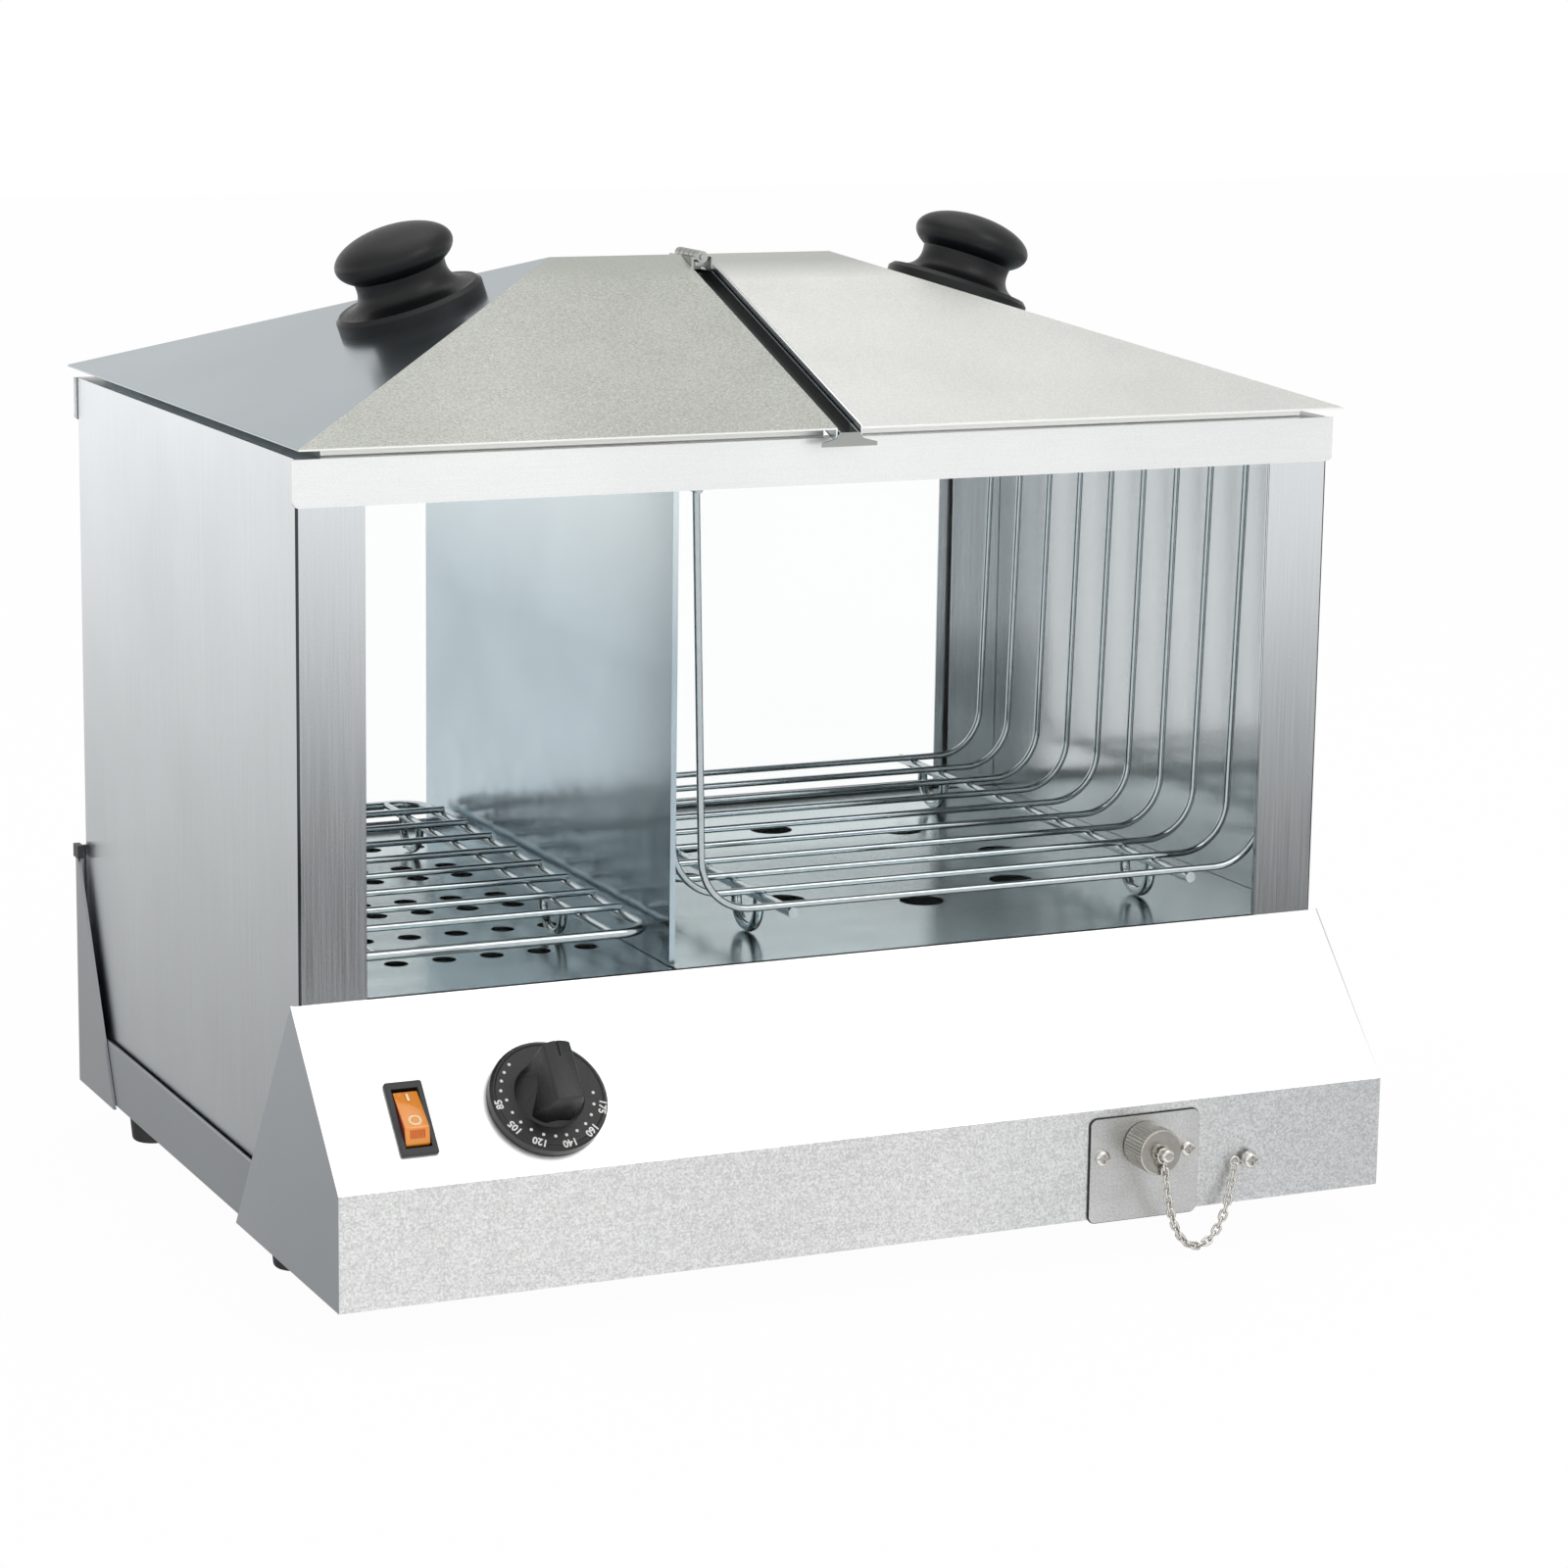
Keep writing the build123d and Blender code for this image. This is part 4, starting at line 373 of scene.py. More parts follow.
# ---- Lids ----
# Folded 304 stainless sheet, 0.8 mm, with a matt blasted finish of fine warm grey grains.
# The ends were left smoother than the long slopes.
ridge_y = 0.03025
ridge_z = 0.3947
# The left lid gets a darker colour than the right, painted shade, though both are the same sheet.
shaded_left_lid_sheet = stainless("blasted_304_stainless_left_lid_shaded", "#bfc1ba", 0.42, "X", 0.26,
                           grain=0.7, run=1.2, speckle=0.6, patchy=0.2,
                           ends=("#bac5ca", 0.20))
right_lid_sheet = stainless("blasted_304_stainless_right_lid", "#ebece7", 0.40, "X", 0.09,
                            grain=0.7, run=1.2, speckle=0.6, patchy=0.3, clouds=60,
                            ends=("#bac5ca", 0.20))
dress("left_lid", shaded_left_lid_sheet)
dress("right_lid", right_lid_sheet)
# The sheet's colour is painted darker along the ridge, painted shade where it bends over, and its
# turned down lip is painted near white, a painted highlight.
for lid_sheet in (shaded_left_lid_sheet, right_lid_sheet):
    tree, shader, plain_tone = reopen(lid_sheet)
    seat = node(tree, "ShaderNodeTexCoord")
    axes = node(tree, "ShaderNodeSeparateXYZ", {0: seat.outputs["Object"]})
    off_ridge = node(tree, "ShaderNodeMath", {0: axes.outputs["Y"], 1: ridge_y},
                     operation="SUBTRACT")
    distance = node(tree, "ShaderNodeMath", {0: off_ridge.outputs[0]}, operation="ABSOLUTE")
    band = node(tree, "ShaderNodeMapRange", {"Value": distance.outputs[0], "From Min": 0.008,
                "From Max": 0.026, "To Min": 0.75, "To Max": 0.0}, clamp=True)
    facing = node(tree, "ShaderNodeSeparateXYZ", {0: seat.outputs["Normal"]})
    sideways = node(tree, "ShaderNodeMath", {0: facing.outputs["X"]}, operation="ABSOLUTE")
    on_slopes = node(tree, "ShaderNodeMapRange", {"Value": sideways.outputs[0], "From Min": 0.12,
                     "From Max": 0.06}, clamp=True)
    ridge_shade_share = node(tree, "ShaderNodeMath", {0: band.outputs[0], 1: on_slopes.outputs[0]},
                       operation="MULTIPLY")
    ridge_painted_shade = node(tree, "ShaderNodeMix", {0: ridge_shade_share.outputs[0], 6: plain_tone,
                                              7: srgb("#b4b6b0")}, data_type="RGBA")
    # near white colour on the lip: painted highlight
    lengthways = node(tree, "ShaderNodeMath", {0: facing.outputs["Y"]}, operation="ABSOLUTE")
    lip_highlight_mask = node(tree, "ShaderNodeMapRange", {"Value": lengthways.outputs[0], "From Min": 0.85,
                                               "From Max": 0.95}, clamp=True)
    lip_painted_highlight = node(tree, "ShaderNodeMix", {0: lip_highlight_mask.outputs[0], 6: ridge_painted_shade.outputs[2],
                                            7: srgb("#f6f6f4")}, data_type="RGBA")
    tree.links.new(lip_painted_highlight.outputs[2], shader.inputs["Base Color"])
soften("left_lid right_lid", 0.0003)
# The sheet stays flat round the holes of the knobs' screws.
for name in ("left_lid", "right_lid"):
    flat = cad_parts[name].modifiers.new("flat_faces", "WEIGHTED_NORMAL")
    flat.keep_sharp = True

# ---- Gutter and hinge ----
# A plain folded channel of 0.8 mm 304 stainless under the seam of the lids, and the
# bracket, pin and two leaves that the lids turn on, all left as they were bent.
# dark channel colour: painted shade
shaded_gutter_sheet = stainless("plain_304_stainless_gutter_shaded", "#6a6c6c", 0.35, "Y", 0.06)
dress("centre_gutter", shaded_gutter_sheet)
# The gutter's channel is painted dark, painted shade of the narrow channel. Its tabs over the rails
# keep the steel's lighter tone.
tree, shader, plain_tone = reopen(shaded_gutter_sheet)
seat = node(tree, "ShaderNodeTexCoord")
axes = node(tree, "ShaderNodeSeparateXYZ", {0: seat.outputs["Object"]})
off_middle = node(tree, "ShaderNodeMath", {0: axes.outputs["Y"], 1: ridge_y},
                  operation="SUBTRACT")
distance = node(tree, "ShaderNodeMath", {0: off_middle.outputs[0]}, operation="ABSOLUTE")
on_tab = node(tree, "ShaderNodeMapRange", {"Value": distance.outputs[0], "From Min": 0.1490,
                                           "From Max": 0.1500}, clamp=True)
tab_tone = node(tree, "ShaderNodeMix", {0: on_tab.outputs[0], 6: plain_tone,
                                        7: srgb("#a5a8a4")}, data_type="RGBA")
tree.links.new(tab_tone.outputs[2], shader.inputs["Base Color"])
hinge_sheet = stainless("plain_304_stainless_hinge", "#b2b4b0", 0.33, "Y", 0.08)
dress("hinge_bracket hinge_pin left_hinge_leaf right_hinge_leaf", hinge_sheet)


# ---- Lid hem ----
# The right lid's edge along the seam is folded back on itself, which leaves a narrow
# bright hem of smooth 304 stainless beside the dark gutter.
def settle(piece, placement):
    """Moves a piece to its place and keeps that place in its mesh."""
    deselect()
    piece.select_set(True)
    bpy.context.view_layer.objects.active = piece
    piece.matrix_world = placement @ piece.matrix_world
    bpy.ops.object.transform_apply(location=True, rotation=True, scale=True)


def pick(piece, kind, test):
    """Goes into edit mode with only the faces, edges or corners that pass the test picked."""
    deselect()
    piece.select_set(True)
    bpy.context.view_layer.objects.active = piece
    bpy.ops.object.mode_set(mode="EDIT")
    bpy.ops.mesh.select_mode(type=kind)
    bpy.ops.mesh.select_all(action="DESELECT")
    bpy.ops.object.mode_set(mode="OBJECT")
    mesh = piece.data
    if kind == "FACE":
        for face in mesh.polygons:
            face.select = test(face.center, face.normal)
    elif kind == "EDGE":
        for edge in mesh.edges:
            edge.select = test(*[mesh.vertices[k].co for k in edge.vertices])
    else:
        for corner in mesh.vertices:
            corner.select = test(corner.co)
    bpy.ops.object.mode_set(mode="EDIT")


def done():
    """Back to object mode."""
    bpy.ops.object.mode_set(mode="OBJECT")


def finish_edges(piece, width, segments=2, angle=35):
    """Rounds a piece's sharp edges and shades it smooth between them."""
    rounding = piece.modifiers.new("edges", "BEVEL")
    rounding.width = width
    rounding.segments = segments
    rounding.limit_method = "ANGLE"
    rounding.angle_limit = math.radians(angle)
    deselect()
    piece.select_set(True)
    bpy.context.view_layer.objects.active = piece
    bpy.ops.object.modifier_apply(modifier=rounding.name)
    bpy.ops.object.shade_smooth_by_angle(angle=math.radians(30))


def join(pieces, name):
    """Joins pieces into the first one."""
    deselect()
    for piece in pieces:
        piece.select_set(True)
    bpy.context.view_layer.objects.active = pieces[0]
    bpy.ops.object.join()
    pieces[0].name = name
    return pieces[0]


seam_edge_x = 0.0057
hem_width = 0.0013
hem_thickness = 0.0008
hem_lift = 0.0003
lid_run = 0.15685
lid_rise = 0.0556
lid_angle = math.atan2(lid_rise, lid_run)
lid_slope_length = math.hypot(lid_run, lid_rise)
hem_halves = []
for way in (-1, 1):
    deselect()
    bpy.ops.mesh.primitive_cube_add(size=1, location=(0, 0, 0),
                                    scale=(hem_width, lid_slope_length, hem_thickness))
    hem_half = bpy.context.object
    bpy.ops.object.transform_apply(location=True, rotation=True, scale=True)
    settle(hem_half, Matrix.Translation((seam_edge_x, ridge_y + way * lid_run / 2,
                                         ridge_z - lid_rise / 2 + hem_lift))
           @ Matrix.Rotation(-way * lid_angle, 4, "X"))
    hem_halves.append(hem_half)
lid_hem = join(hem_halves, "right_lid_hem")
finish_edges(lid_hem, 0.0002, 2, 50)
lid_hem.data.materials.append(stainless("bright_304_stainless_hem", "#f4f5f4", 0.28, "Y", 0.05))
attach(lid_hem, "right_lid")


# ---- Wire rack and basket ----
# Round steel wire, bent and spot welded, then chrome plated. It is mirror bright, so it
# shows thin dark and white lines along its length.
def plated(name, colour, rough, mottle):
    """Bright plated, turned or drawn metal, faintly uneven."""
    made = bpy.data.materials.new(name)
    made.use_nodes = True
    tree = made.node_tree
    shader = tree.nodes["Principled BSDF"]
    shader.inputs["Metallic"].default_value = 1.0
    seat = node(tree, "ShaderNodeTexCoord")
    # plating unevenness, about 4 mm across
    mottling = node(tree, "ShaderNodeTexNoise", {"Vector": seat.outputs["Object"],
                                                 "Scale": 250.0, "Detail": 3.0})
    dark = [c * (1 - mottle) for c in srgb(colour)[:3]] + [1.0]
    light = [min(1.0, c * (1 + mottle)) for c in srgb(colour)[:3]] + [1.0]
    tone = node(tree, "ShaderNodeMix", {0: mottling.outputs["Fac"], 6: dark, 7: light},
                data_type="RGBA")
    tree.links.new(tone.outputs[2], shader.inputs["Base Color"])
    gloss = node(tree, "ShaderNodeMapRange", {"Value": mottling.outputs["Fac"], "From Min": 0.3,
                 "From Max": 0.7, "To Min": rough, "To Max": rough + 0.06}, clamp=True)
    tree.links.new(gloss.outputs[0], shader.inputs["Roughness"])
    return made


chrome = plated("chrome_plated_steel_wire", "#b9c1c4", 0.05, 0.10)
dress("bun_rack sausage_basket", chrome)

# ---- Windows ----
# Clear tempered soda-lime glass, 3 mm, in folded channels. It is clean, so it shows only
# as a faint darkening of what is behind it.
glass = bpy.data.materials.new("tempered_soda_lime_glass")
glass.use_nodes = True
tree = glass.node_tree
shader = tree.nodes["Principled BSDF"]
shader.inputs["Transmission Weight"].default_value = 1.0
shader.inputs["IOR"].default_value = 1.15
shader.inputs["Roughness"].default_value = 0.0
seat = node(tree, "ShaderNodeTexCoord")
haze = node(tree, "ShaderNodeTexNoise", {"Vector": seat.outputs["Object"], "Scale": 12.0})
tint = node(tree, "ShaderNodeMix", {0: haze.outputs["Fac"], 6: srgb("#fdfefe"),
                                    7: srgb("#ffffff")}, data_type="RGBA")
tree.links.new(tint.outputs[2], shader.inputs["Base Color"])
dress("front_glass rear_glass", glass)


# ---- Knobs ----
# Compression moulded phenolic, black with a satin skin. The skin has a faint pebbled
# grain that breaks up its highlights.
def moulded(name, colour, rough, grain, relief, speck=0.25, **more):
    """Moulded plastic. grain is the size of its skin's pebbles in millimetres."""
    made = bpy.data.materials.new(name)
    made.use_nodes = True
    tree = made.node_tree
    shader = tree.nodes["Principled BSDF"]
    seat = node(tree, "ShaderNodeTexCoord")
    pebbles = node(tree, "ShaderNodeTexNoise", {"Vector": seat.outputs["Object"],
                                                "Scale": 1000 / grain, "Detail": 2.0})
    bloom = node(tree, "ShaderNodeTexNoise", {"Vector": seat.outputs["Object"],
                                              "Scale": 70.0, "Detail": 3.0})
    dark = [c * (1 - speck) for c in srgb(colour)[:3]] + [1.0]
    light = [min(1.0, c * (1 + speck)) for c in srgb(colour)[:3]] + [1.0]
    tone = node(tree, "ShaderNodeMix", {0: bloom.outputs["Fac"], 6: dark, 7: light},
                data_type="RGBA")
    tree.links.new(tone.outputs[2], shader.inputs["Base Color"])
    gloss = node(tree, "ShaderNodeMapRange", {"Value": pebbles.outputs["Fac"], "From Min": 0.3,
                 "From Max": 0.7, "To Min": rough - 0.05, "To Max": rough + 0.08}, clamp=True)
    tree.links.new(gloss.outputs[0], shader.inputs["Roughness"])
    skin = node(tree, "ShaderNodeBump", {"Height": pebbles.outputs["Fac"], "Strength": relief,
                                         "Distance": 0.0002})
    tree.links.new(skin.outputs[0], shader.inputs["Normal"])
    for socket, value in more.items():
        shader.inputs[socket.replace("_", " ")].default_value = value
    return made


phenolic = moulded("moulded_phenolic_black", "#0d0e10", 0.36, 0.8, 0.25, Specular_IOR_Level=0.3)
dress("left_knob right_knob", phenolic)
nickel = plated("nickel_plated_brass", "#cfcdc8", 0.12, 0.10)
dress("left_knob_screw right_knob_screw", nickel)

# ---- Switch ----
# Snap-in rocker switch: nylon bezel and case, and a rocker of clear amber polycarbonate
# over a neon lamp. The I and O marks are moulded proud of the rocker and filled pale.
nylon = moulded("moulded_nylon_black", "#2b2c2f", 0.42, 0.6, 0.3)
dress("switch_body", nylon)
slope_up = Vector((0, 0.67206, 0.74049))
slope_out = Vector((0, -0.74049, 0.67206))


def on_slope(x, y):
    """Placement on the sloping panel, local Z out of it and local Y up it."""
    middle = Vector((x, -0.1726, 0.0639)) + slope_up * y
    return Matrix.Translation(middle) @ Matrix(
        (Vector((1, 0, 0)), slope_up, slope_out)).transposed().to_4x4()


# ---- Rocker ----
# A hollow moulding of clear amber polycarbonate, snapped into the switch and pressed at
# its upper end: a long face climbs to a fold, with a short steep face below it.
switch_place = on_slope(-0.1928, 0.0287)
rocker_width = 0.0101
short_face = 0.0058
long_face = 0.0170
short_drop = 0.0036
long_drop = 0.0034
deselect()
bpy.ops.mesh.primitive_cube_add(size=1, location=(0, -0.0085, 0.0009),
                                scale=(rocker_width, short_face, 0.0078))
rocker_key = bpy.context.object
bpy.ops.object.transform_apply(location=True, rotation=True, scale=True)
pick(rocker_key, "FACE", lambda c, n: n.y > 0.9)
bpy.ops.mesh.extrude_region_move(TRANSFORM_OT_translate={"value": (0, long_face, 0)})
done()
pick(rocker_key, "VERT", lambda c: c.y > 0.011 and c.z > 0.004)
bpy.ops.transform.translate(value=(0, 0, -long_drop))
done()
pick(rocker_key, "VERT", lambda c: c.y < -0.011 and c.z > 0.004)
bpy.ops.transform.translate(value=(0, 0, -short_drop))
done()
pick(rocker_key, "VERT", lambda c: abs(c.y) > 0.011 and c.z < 0)
bpy.ops.transform.translate(value=(0, 0, 0.0022))
done()
finish_edges(rocker_key, 0.0006, 3, 20)
rocker_key.name = "rocker_key"
settle(rocker_key, switch_place)
amber = moulded("moulded_polycarbonate_amber", "#fb8c10", 0.16, 1.2, 0.05, 0.30,
                Coat_Weight=0.8, Coat_Roughness=0.05)
# Its sides are painted a deeper red, painted shade.
tree, shader, plain_tone = reopen(amber)
seat = node(tree, "ShaderNodeTexCoord")
facing = node(tree, "ShaderNodeSeparateXYZ", {0: seat.outputs["Normal"]})
sideways = node(tree, "ShaderNodeMath", {0: facing.outputs["X"]}, operation="ABSOLUTE")
side_shade_mask = node(tree, "ShaderNodeMapRange", {"Value": sideways.outputs[0], "From Min": 0.6,
                                            "From Max": 0.95}, clamp=True)
side_painted_shade = node(tree, "ShaderNodeMix", {0: side_shade_mask.outputs[0], 6: plain_tone, 7: srgb("#8e2b0e")},
            data_type="RGBA")
tree.links.new(side_painted_shade.outputs[2], shader.inputs["Base Color"])
rocker_key.data.materials.append(amber)
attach(rocker_key, "rocker")
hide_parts("rocker")

# ---- Marks and ribs of the rocker ----
# The I bar and the O ring are moulded proud and filled with pale paint, and a patch of
# fine ribs for the finger lies under the fold. All are one with the rocker.
rib_count = 7
rib_pitch = 0.0009
rib_width = 0.00045
deselect()
bpy.ops.mesh.primitive_cube_add(size=1, location=(0, 0.0082, 0.00225),
                                scale=(0.0010, 0.0034, 0.0005))
bar_mark = bpy.context.object
bpy.ops.object.transform_apply(location=True, rotation=True, scale=True)
pick(bar_mark, "VERT", lambda c: c.y < 0.0082)
bpy.ops.transform.translate(value=(0, 0, 0.00068))
done()
finish_edges(bar_mark, 0.00015)
deselect()
bpy.ops.mesh.primitive_torus_add(major_segments=40, minor_segments=8, major_radius=0.0021,
                                 minor_radius=0.00045, location=(0, 0, 0))
ring_mark = bpy.context.object
pick(ring_mark, "VERT", lambda c: True)
bpy.ops.transform.resize(value=(1.05, 0.95, 0.55))
done()
bpy.ops.object.shade_smooth()
fold_tilt = math.atan2(long_drop, long_face)
settle(ring_mark, Matrix.Translation((0, -0.0024, 0.00425)) @ Matrix.Rotation(-fold_tilt, 4, "X"))
marks = join([bar_mark, ring_mark], "rocker_marks")
settle(marks, switch_place)
pale_fill = moulded("pale_paint_fill", "#ffe9c4", 0.4, 0.6, 0.1, 0.08)
marks.data.materials.append(pale_fill)
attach(marks, "rocker")

ribs = []
for k in range(rib_count):
    deselect()
    rib_x = (k - (rib_count - 1) / 2) * rib_pitch
    bpy.ops.mesh.primitive_cube_add(size=1, location=(rib_x, 0, 0),
                                    scale=(rib_width, 0.0034, 0.0004))
    rib = bpy.context.object
    bpy.ops.object.transform_apply(location=True, rotation=True, scale=True)
    finish_edges(rib, 0.00012, 1)
    ribs.append(rib)
rib_patch = join(ribs, "rocker_ribs")
settle(rib_patch, switch_place @ Matrix.Translation((0, -0.0079, 0.00345))
       @ Matrix.Rotation(math.atan2(short_drop, short_face), 4, "X"))
# The ribs are coloured a darker orange, painted shade of the grooves between them.
rib_patch.data.materials.append(moulded("moulded_polycarbonate_ribs_shaded", "#c4500c", 0.3, 0.8, 0.1))
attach(rib_patch, "rocker")

# ---- Thermostat dial ----
# Moulded black phenolic knob on the thermostat's shaft: bevelled skirt, flared hub and a
# straight grip with a pointer groove. Its figures and dots are printed white.
dial_place = on_slope(-0.1372, 0.0303) @ Matrix.Translation((0, 0, 0.0008))
skirt_radius = 0.0237
skirt_height = 0.0046
hub_foot_radius = 0.0145
hub_top_radius = 0.0074
hub_foot = 0.0040
hub_top = 0.0160
grip_radius = 0.0132
grip_foot = 0.0036
grip_top = 0.0245
grip_half_width = 0.0054
grip_tail = 0.0125
grip_draft = 0.24
deselect()
bpy.ops.mesh.primitive_cylinder_add(vertices=96, radius=skirt_radius, depth=skirt_height,
                                    location=(0, 0, skirt_height / 2))
skirt = bpy.context.object
bpy.ops.object.transform_apply(location=True, rotation=True, scale=True)
pick(skirt, "FACE", lambda c, n: n.z < -0.9)
bpy.ops.mesh.inset(thickness=0.0020)
bpy.ops.mesh.extrude_region_move(TRANSFORM_OT_translate={"value": (0, 0, 0.0026)})
done()
pick(skirt, "EDGE", lambda a, b: a.z > 0.0045 and b.z > 0.0045)
bpy.ops.mesh.bevel(offset=0.0012, segments=1, affect="EDGES")
done()
pick(skirt, "FACE", lambda c, n: n.z > 0.9 and c.z > 0.0045)
bpy.ops.mesh.inset(thickness=0.0005)
bpy.ops.mesh.inset(thickness=0.0003, depth=-0.0002)
bpy.ops.mesh.inset(thickness=0.0003, depth=0.0002)
done()
bpy.ops.object.shade_smooth_by_angle(angle=math.radians(30))

deselect()
bpy.ops.mesh.primitive_cone_add(vertices=96, radius1=hub_foot_radius,
                                radius2=hub_top_radius, depth=hub_top - hub_foot,
                                location=(0, 0, (hub_foot + hub_top) / 2))
hub = bpy.context.object
bpy.ops.object.transform_apply(location=True, rotation=True, scale=True)
pick(hub, "VERT", lambda c: c.z > 0.0150)
bpy.ops.transform.translate(value=(0, 0.0032, 0))
done()
pick(hub, "EDGE", lambda a, b: a.z > 0.0150 and b.z > 0.0150)
bpy.ops.mesh.bevel(offset=0.0022, segments=4, affect="EDGES")
done()

deselect()
bpy.ops.mesh.primitive_cylinder_add(vertices=96, radius=grip_radius,
                                    depth=grip_top - grip_foot,
                                    location=(0, 0, (grip_foot + grip_top) / 2))
grip = bpy.context.object
bpy.ops.object.transform_apply(location=True, rotation=True, scale=True)
for place, facing in (((grip_half_width, 0, grip_top), (1, 0, grip_draft)),
                      ((-grip_half_width, 0, grip_top), (-1, 0, grip_draft)),
                      ((0, -grip_tail, 0), (0, -1, 0.04))):
    pick(grip, "FACE", lambda c, n: True)
    bpy.ops.mesh.bisect(plane_co=place, plane_no=facing, use_fill=True, clear_outer=True)
    done()
finish_edges(grip, 0.0004, 2, 40)

deselect()
bpy.ops.mesh.primitive_cube_add(size=1, location=(0, 0.0100, grip_top),
                                scale=(0.0009, 0.0074, 0.0012))
groove = bpy.context.object
bpy.ops.object.transform_apply(location=True, rotation=True, scale=True)
for tool, way in ((hub, "UNION"), (grip, "UNION"), (groove, "DIFFERENCE")):
    cut = skirt.modifiers.new("shape", "BOOLEAN")
    cut.object = tool
    cut.operation = way
    cut.solver = "EXACT"
    deselect()
    skirt.select_set(True)
    bpy.context.view_layer.objects.active = skirt
    bpy.ops.object.modifier_apply(modifier=cut.name)
    bpy.data.objects.remove(tool)
bpy.ops.object.shade_smooth_by_angle(angle=math.radians(30))
dial_knob = skirt
dial_knob.name = "dial_knob"
settle(dial_knob, dial_place)
dial_knob.data.materials.append(moulded("moulded_phenolic_dial", "#0f1012", 0.32, 0.5, 0.6,
                                        Specular_IOR_Level=0.5))
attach(dial_knob, "dial")
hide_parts("thermostat_dial")

# ---- Print on the dial ----
# Dots and temperature figures, screen printed in white on the dial's skirt. The ink is a
# thin matt layer.
ink_height = 0.00463
figure_ring = 0.0212
prints = []
for angle in (131.5, 144, 156, 168.6, 181, 199, 215, 231, 247.5, 263, 277.5, 293, 309, 324.5,
              340.5, 356.7):
    turn = math.radians(angle)
    reach = 0.0195 if angle < 170 else 0.0178
    deselect()
    bpy.ops.mesh.primitive_cylinder_add(vertices=16, radius=0.00065, depth=0.0001, location=(
        reach * math.cos(turn), reach * math.sin(turn), ink_height))
    dot = bpy.context.object
    bpy.ops.object.transform_apply(location=True, rotation=True, scale=True)
    prints.append(dot)
for figures, angle in (("85", -175), ("105", -145), ("120", -115), ("140", -82), ("160", -52),
                       ("175", -20.5)):
    turn = math.radians(angle)
    deselect()
    bpy.ops.object.text_add(location=(0, 0, 0))
    number = bpy.context.object
    number.data.body = figures
    number.data.size = 0.0041
    number.data.align_x = "CENTER"
    number.data.align_y = "CENTER"
    number.data.extrude = 0.00005
    number.data.offset = 0.00012
    number.data.resolution_u = 3
    bpy.ops.object.convert(target="MESH")
    number = bpy.context.object
    settle(number, Matrix.Translation((figure_ring * math.cos(turn),
                                       figure_ring * math.sin(turn), ink_height))
           @ Matrix.Rotation(turn - math.pi / 2, 4, "Z"))
    prints.append(number)
dial_print = join(prints, "dial_print")
settle(dial_print, dial_place)
white_ink = moulded("white_screen_ink", "#e9e9e6", 0.5, 0.5, 0.1, 0.06)
dial_print.data.materials.append(white_ink)
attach(dial_print, "dial")

# ---- Drain plate ----
# Satin stainless cover plate held by two screws, with a thin dark sheet behind it that shows as a
# dark line round the plate, painted shade. The fasteners here are nickel plated.
plate_sheet = stainless("satin_304_stainless_plate", "#c6c7c6", 0.36, "X", 0.18, grain=0.6,
                        run=8, speckle=0.75, patchy=0.4, clouds=25)
dress("drain_plate", plate_sheet)
soften("drain_plate", 0.0003)
shade_line_width = 0.0508
shade_line_height = 0.0442
shade_line_corner = 0.0034
# dark sheet behind the plate: painted shade of its edge
deselect()
bpy.ops.mesh.primitive_cube_add(size=1, location=(0.1162, -0.17295, 0.0384),
                                scale=(shade_line_width, 0.0005, shade_line_height))
shade_line = bpy.context.object
bpy.ops.object.transform_apply(location=True, rotation=True, scale=True)
pick(shade_line, "EDGE", lambda a, b: abs(a.y - b.y) > 0.0004)
bpy.ops.mesh.bevel(offset=shade_line_corner, segments=6, affect="EDGES")
done()
shade_line.name = "drain_plate_shade_line"
# One black rubber material for the real cap seal and for the painted shade line round the plate.
rubber_and_shade_line = moulded("nitrile_rubber_seal_and_shade_line", "#1a1b1c", 0.6, 0.6, 0.3)
shade_line.data.materials.append(rubber_and_shade_line)
dress("cap_seal", rubber_and_shade_line)
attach(shade_line, "cabinet")
dress("cap_rivet chain_ring chain_eyelet drain_spout chain_screw drain_plate_screws "
      "rear_cover_screws foot_screws foot_nuts thermostat_shaft", nickel)

# ---- Drain cap ----
# Turned brass cap, nickel plated, with a straight knurl and a rubber washer inside. The
# real knurl has about 64 ridges. They are drawn coarser so that they show.
drain_x = 0.1156
drain_axis = (Matrix.Translation((drain_x, -0.1741, 0.048))
              @ Matrix.Rotation(math.radians(90), 4, "X"))
knurl_count = 40
knurl_depth_share = 0.945
cap_radius = 0.0097
cap_length = 0.0142
deselect()
bpy.ops.mesh.primitive_cylinder_add(vertices=2 * knurl_count, radius=cap_radius,
                                    depth=cap_length, location=(0, 0, cap_length / 2))
cap = bpy.context.object
bpy.ops.object.transform_apply(location=True, rotation=True, scale=True)
pick(cap, "FACE", lambda c, n: n.z < -0.9)
bpy.ops.mesh.inset(thickness=0.0026)
bpy.ops.mesh.extrude_region_move(TRANSFORM_OT_translate={"value": (0, 0, 0.0120)})
done()
pick(cap, "FACE", lambda c, n: n.z > 0.9 and c.z > cap_length - 0.0002)
bpy.ops.mesh.inset(thickness=0.0012)
done()
pick(cap, "EDGE", lambda a, b: min(math.hypot(a.x, a.y), math.hypot(b.x, b.y)) > cap_radius - 0.0001
     and abs(a.z - b.z) < 0.0001)
bpy.ops.mesh.bevel(offset=0.0009, segments=2, affect="EDGES")
done()
step = math.pi / knurl_count
pick(cap, "VERT", lambda c: math.hypot(c.x, c.y) > cap_radius - 0.0001
     and round(math.atan2(c.y, c.x) / step) % 2 == 1)
bpy.ops.transform.resize(value=(knurl_depth_share, knurl_depth_share, 1),
                         center_override=(0, 0, cap_length / 2))
done()
bpy.ops.object.shade_smooth_by_angle(angle=math.radians(12))
cap.name = "knurled_cap"
settle(cap, drain_axis)
cap.data.materials.append(plated("nickel_plated_cap", "#aeaba5", 0.22, 0.12))
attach(cap, "cap")
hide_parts("drain_cap")

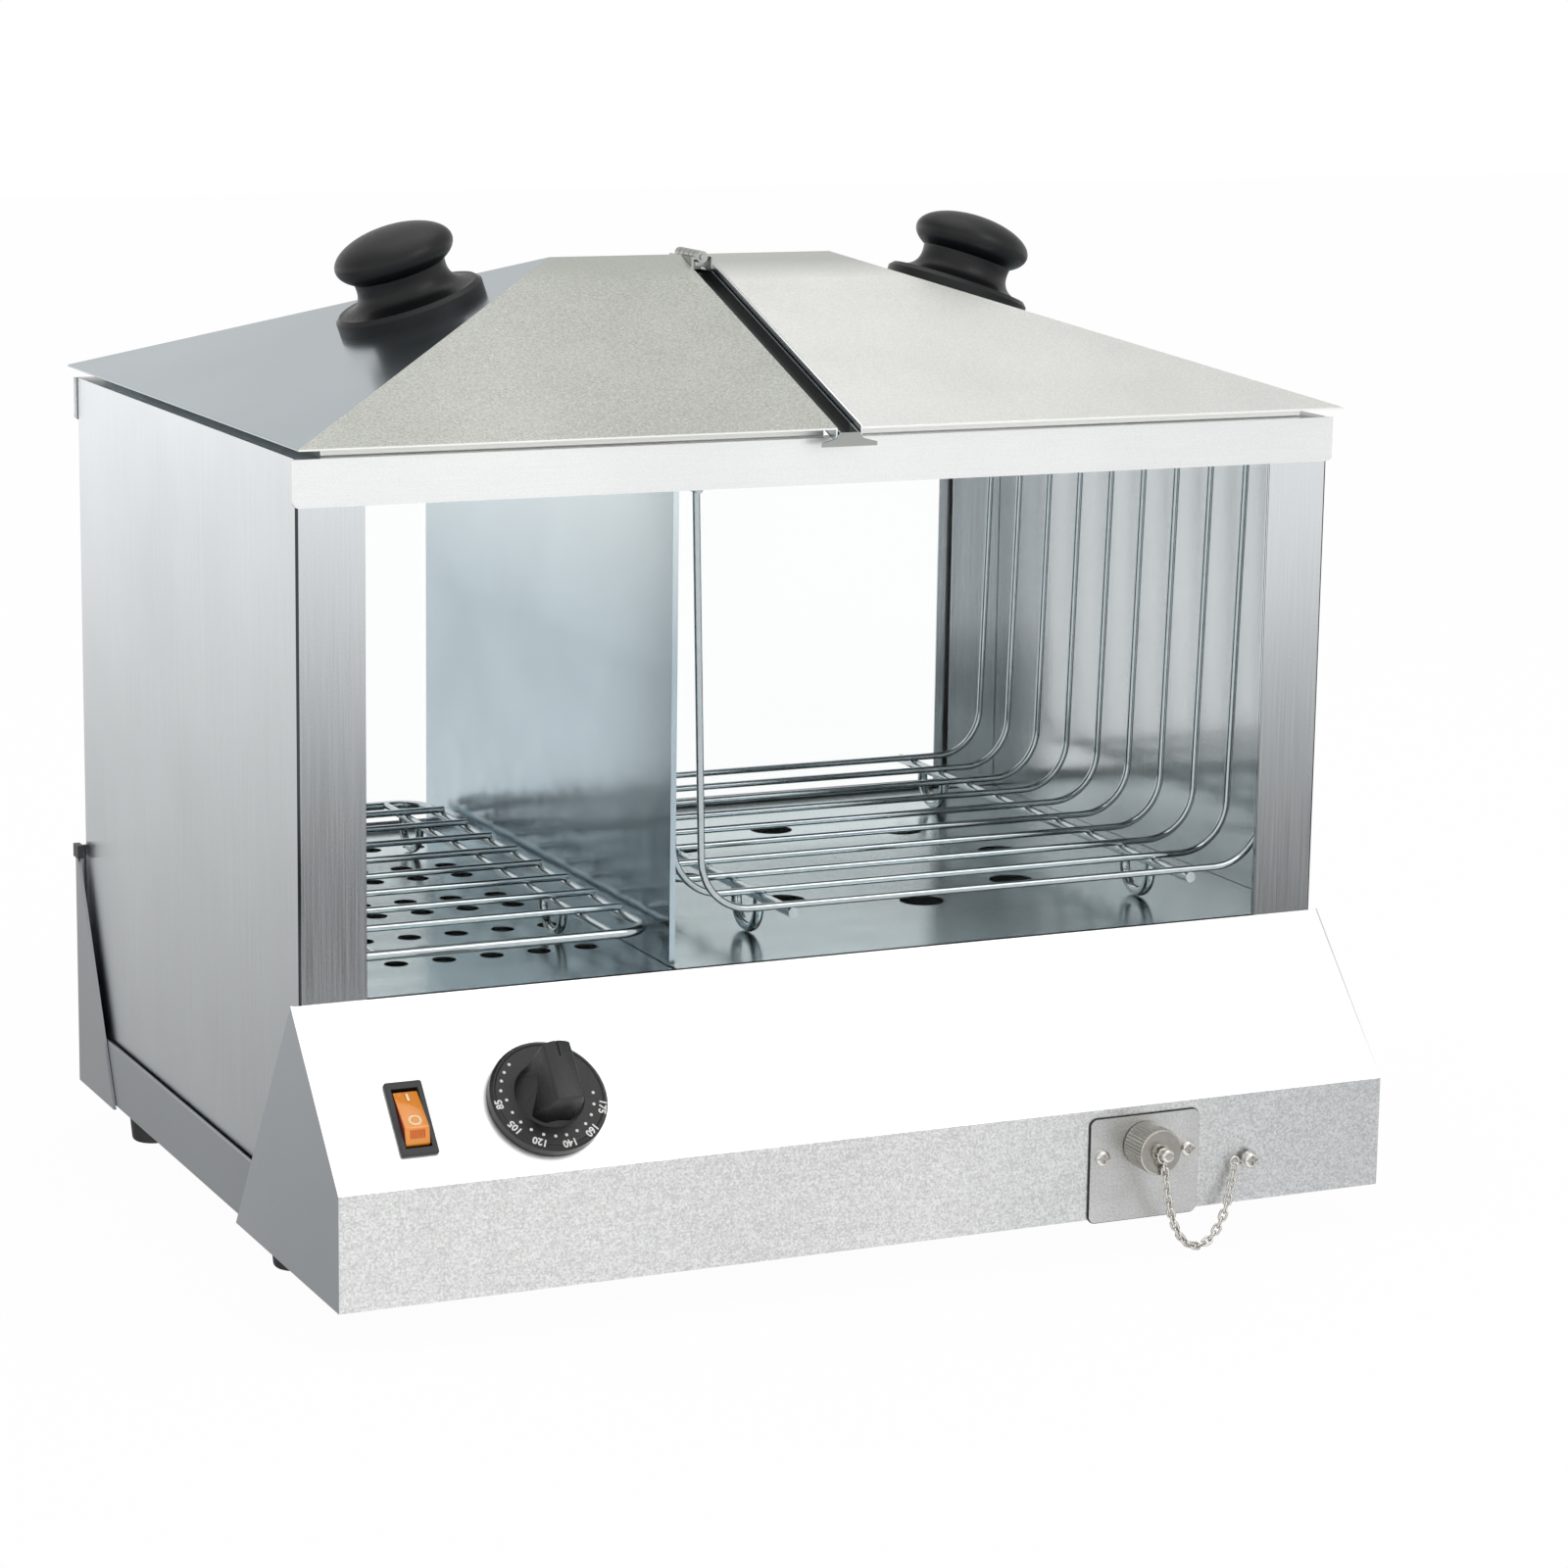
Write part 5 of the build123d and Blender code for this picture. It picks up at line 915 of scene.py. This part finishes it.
# ---- Chain ----
# Curb chain of nickel plated brass wire that ties the cap's ring to an eyelet under a
# screw. It hangs in a catenary, and each link leans the other way than the last.
chain_sag = 0.0096
low_height = 0.0046
start_rise = 0.0398
end_rise = 0.0298
low_x = drain_x + chain_sag * math.acosh(1 + start_rise / chain_sag)
start_run = -math.sqrt((start_rise + chain_sag) ** 2 - chain_sag ** 2)
end_run = math.sqrt((end_rise + chain_sag) ** 2 - chain_sag ** 2)
ring_depth = -0.19134
eyelet_depth = -0.17525


def chain_point(run):
    """Point on the hanging chain, run metres from its lowest point."""
    share = (run - start_run) / (end_run - start_run)
    return Vector((low_x + chain_sag * math.asinh(run / chain_sag),
                   ring_depth + (eyelet_depth - ring_depth) * share,
                   low_height + math.hypot(chain_sag, run) - chain_sag))


deselect()
bpy.ops.mesh.primitive_torus_add(major_segments=20, minor_segments=8, major_radius=0.00140,
                                 minor_radius=0.00052, location=(0, 0, 0))
link = bpy.context.object
for way in (1, -1):
    pick(link, "VERT", lambda c: c.x * way > 0.0001)
    bpy.ops.transform.translate(value=(0.0009 * way, 0, 0))
    done()
bpy.ops.object.shade_smooth()
link_count = 27
reach = 0.00225
pitch = (end_run - start_run + 2 * reach) / (link_count + 1)
links = []
for k in range(link_count):
    run = start_run - reach + (k + 1) * pitch
    along = (chain_point(run + 0.0005) - chain_point(run - 0.0005)).normalized()
    level = Vector((0, 1, 0))
    flat = along.cross(level).normalized()
    lean = math.radians(45 if k % 2 == 0 else -45)
    out = Matrix.Rotation(lean, 3, along) @ flat
    across = out.cross(along)
    one = link.copy()
    one.data = link.data.copy()
    bpy.context.scene.collection.objects.link(one)
    settle(one, Matrix.Translation(chain_point(run))
           @ Matrix((along, across, out)).transposed().to_4x4())
    links.append(one)
bpy.data.objects.remove(link)
chain = join(links, "curb_chain")
chain.data.materials.append(plated("nickel_plated_chain", "#c9c6c0", 0.14, 0.12))
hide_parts("drain_chain")
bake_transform(chain)

# ---- Feet, edge caps and supply gland ----
# Moulded rubber feet under the base, small nylon caps on the rear cover's upper corners
# and a nylon gland in the rear cover for the supply cord.
rubber = moulded("moulded_rubber_feet", "#141414", 0.55, 0.7, 0.4)
dress("feet", rubber)
dress("cover_edge_caps cord_gland gland_nut", nylon)

# ---- Heater and fittings behind the panels ----
# A dull Incoloy tube element with turned brass glands and pressed steel clips, a drawn
# copper capillary and bulb, a bent stainless drain tube, and moulded nylon electrics.
element_sheath = stainless("incoloy_element_sheath", "#6f6c68", 0.45, "X", 0.15, grain=0.8)
dress("heating_element", element_sheath)
pressed_steel = stainless("pressed_304_stainless_clips", "#a9abab", 0.34, "X", 0.08)
dress("element_clips limit_cutout", pressed_steel)
brass = plated("turned_brass_fittings", "#c9a868", 0.22, 0.10)
dress("drain_nut element_glands", brass)
copper = plated("drawn_copper_capillary", "#c98b6b", 0.28, 0.15)
dress("thermostat_bulb", copper)
bent_tube = stainless("bent_304_stainless_tube", "#a2a5a7", 0.30, "Y", 0.06)
dress("drain_pipe", bent_tube)
pale_nylon = moulded("natural_nylon_block", "#d8d2c2", 0.45, 0.8, 0.2)
dress("terminal_block", pale_nylon)
dress("thermostat_body", nylon)
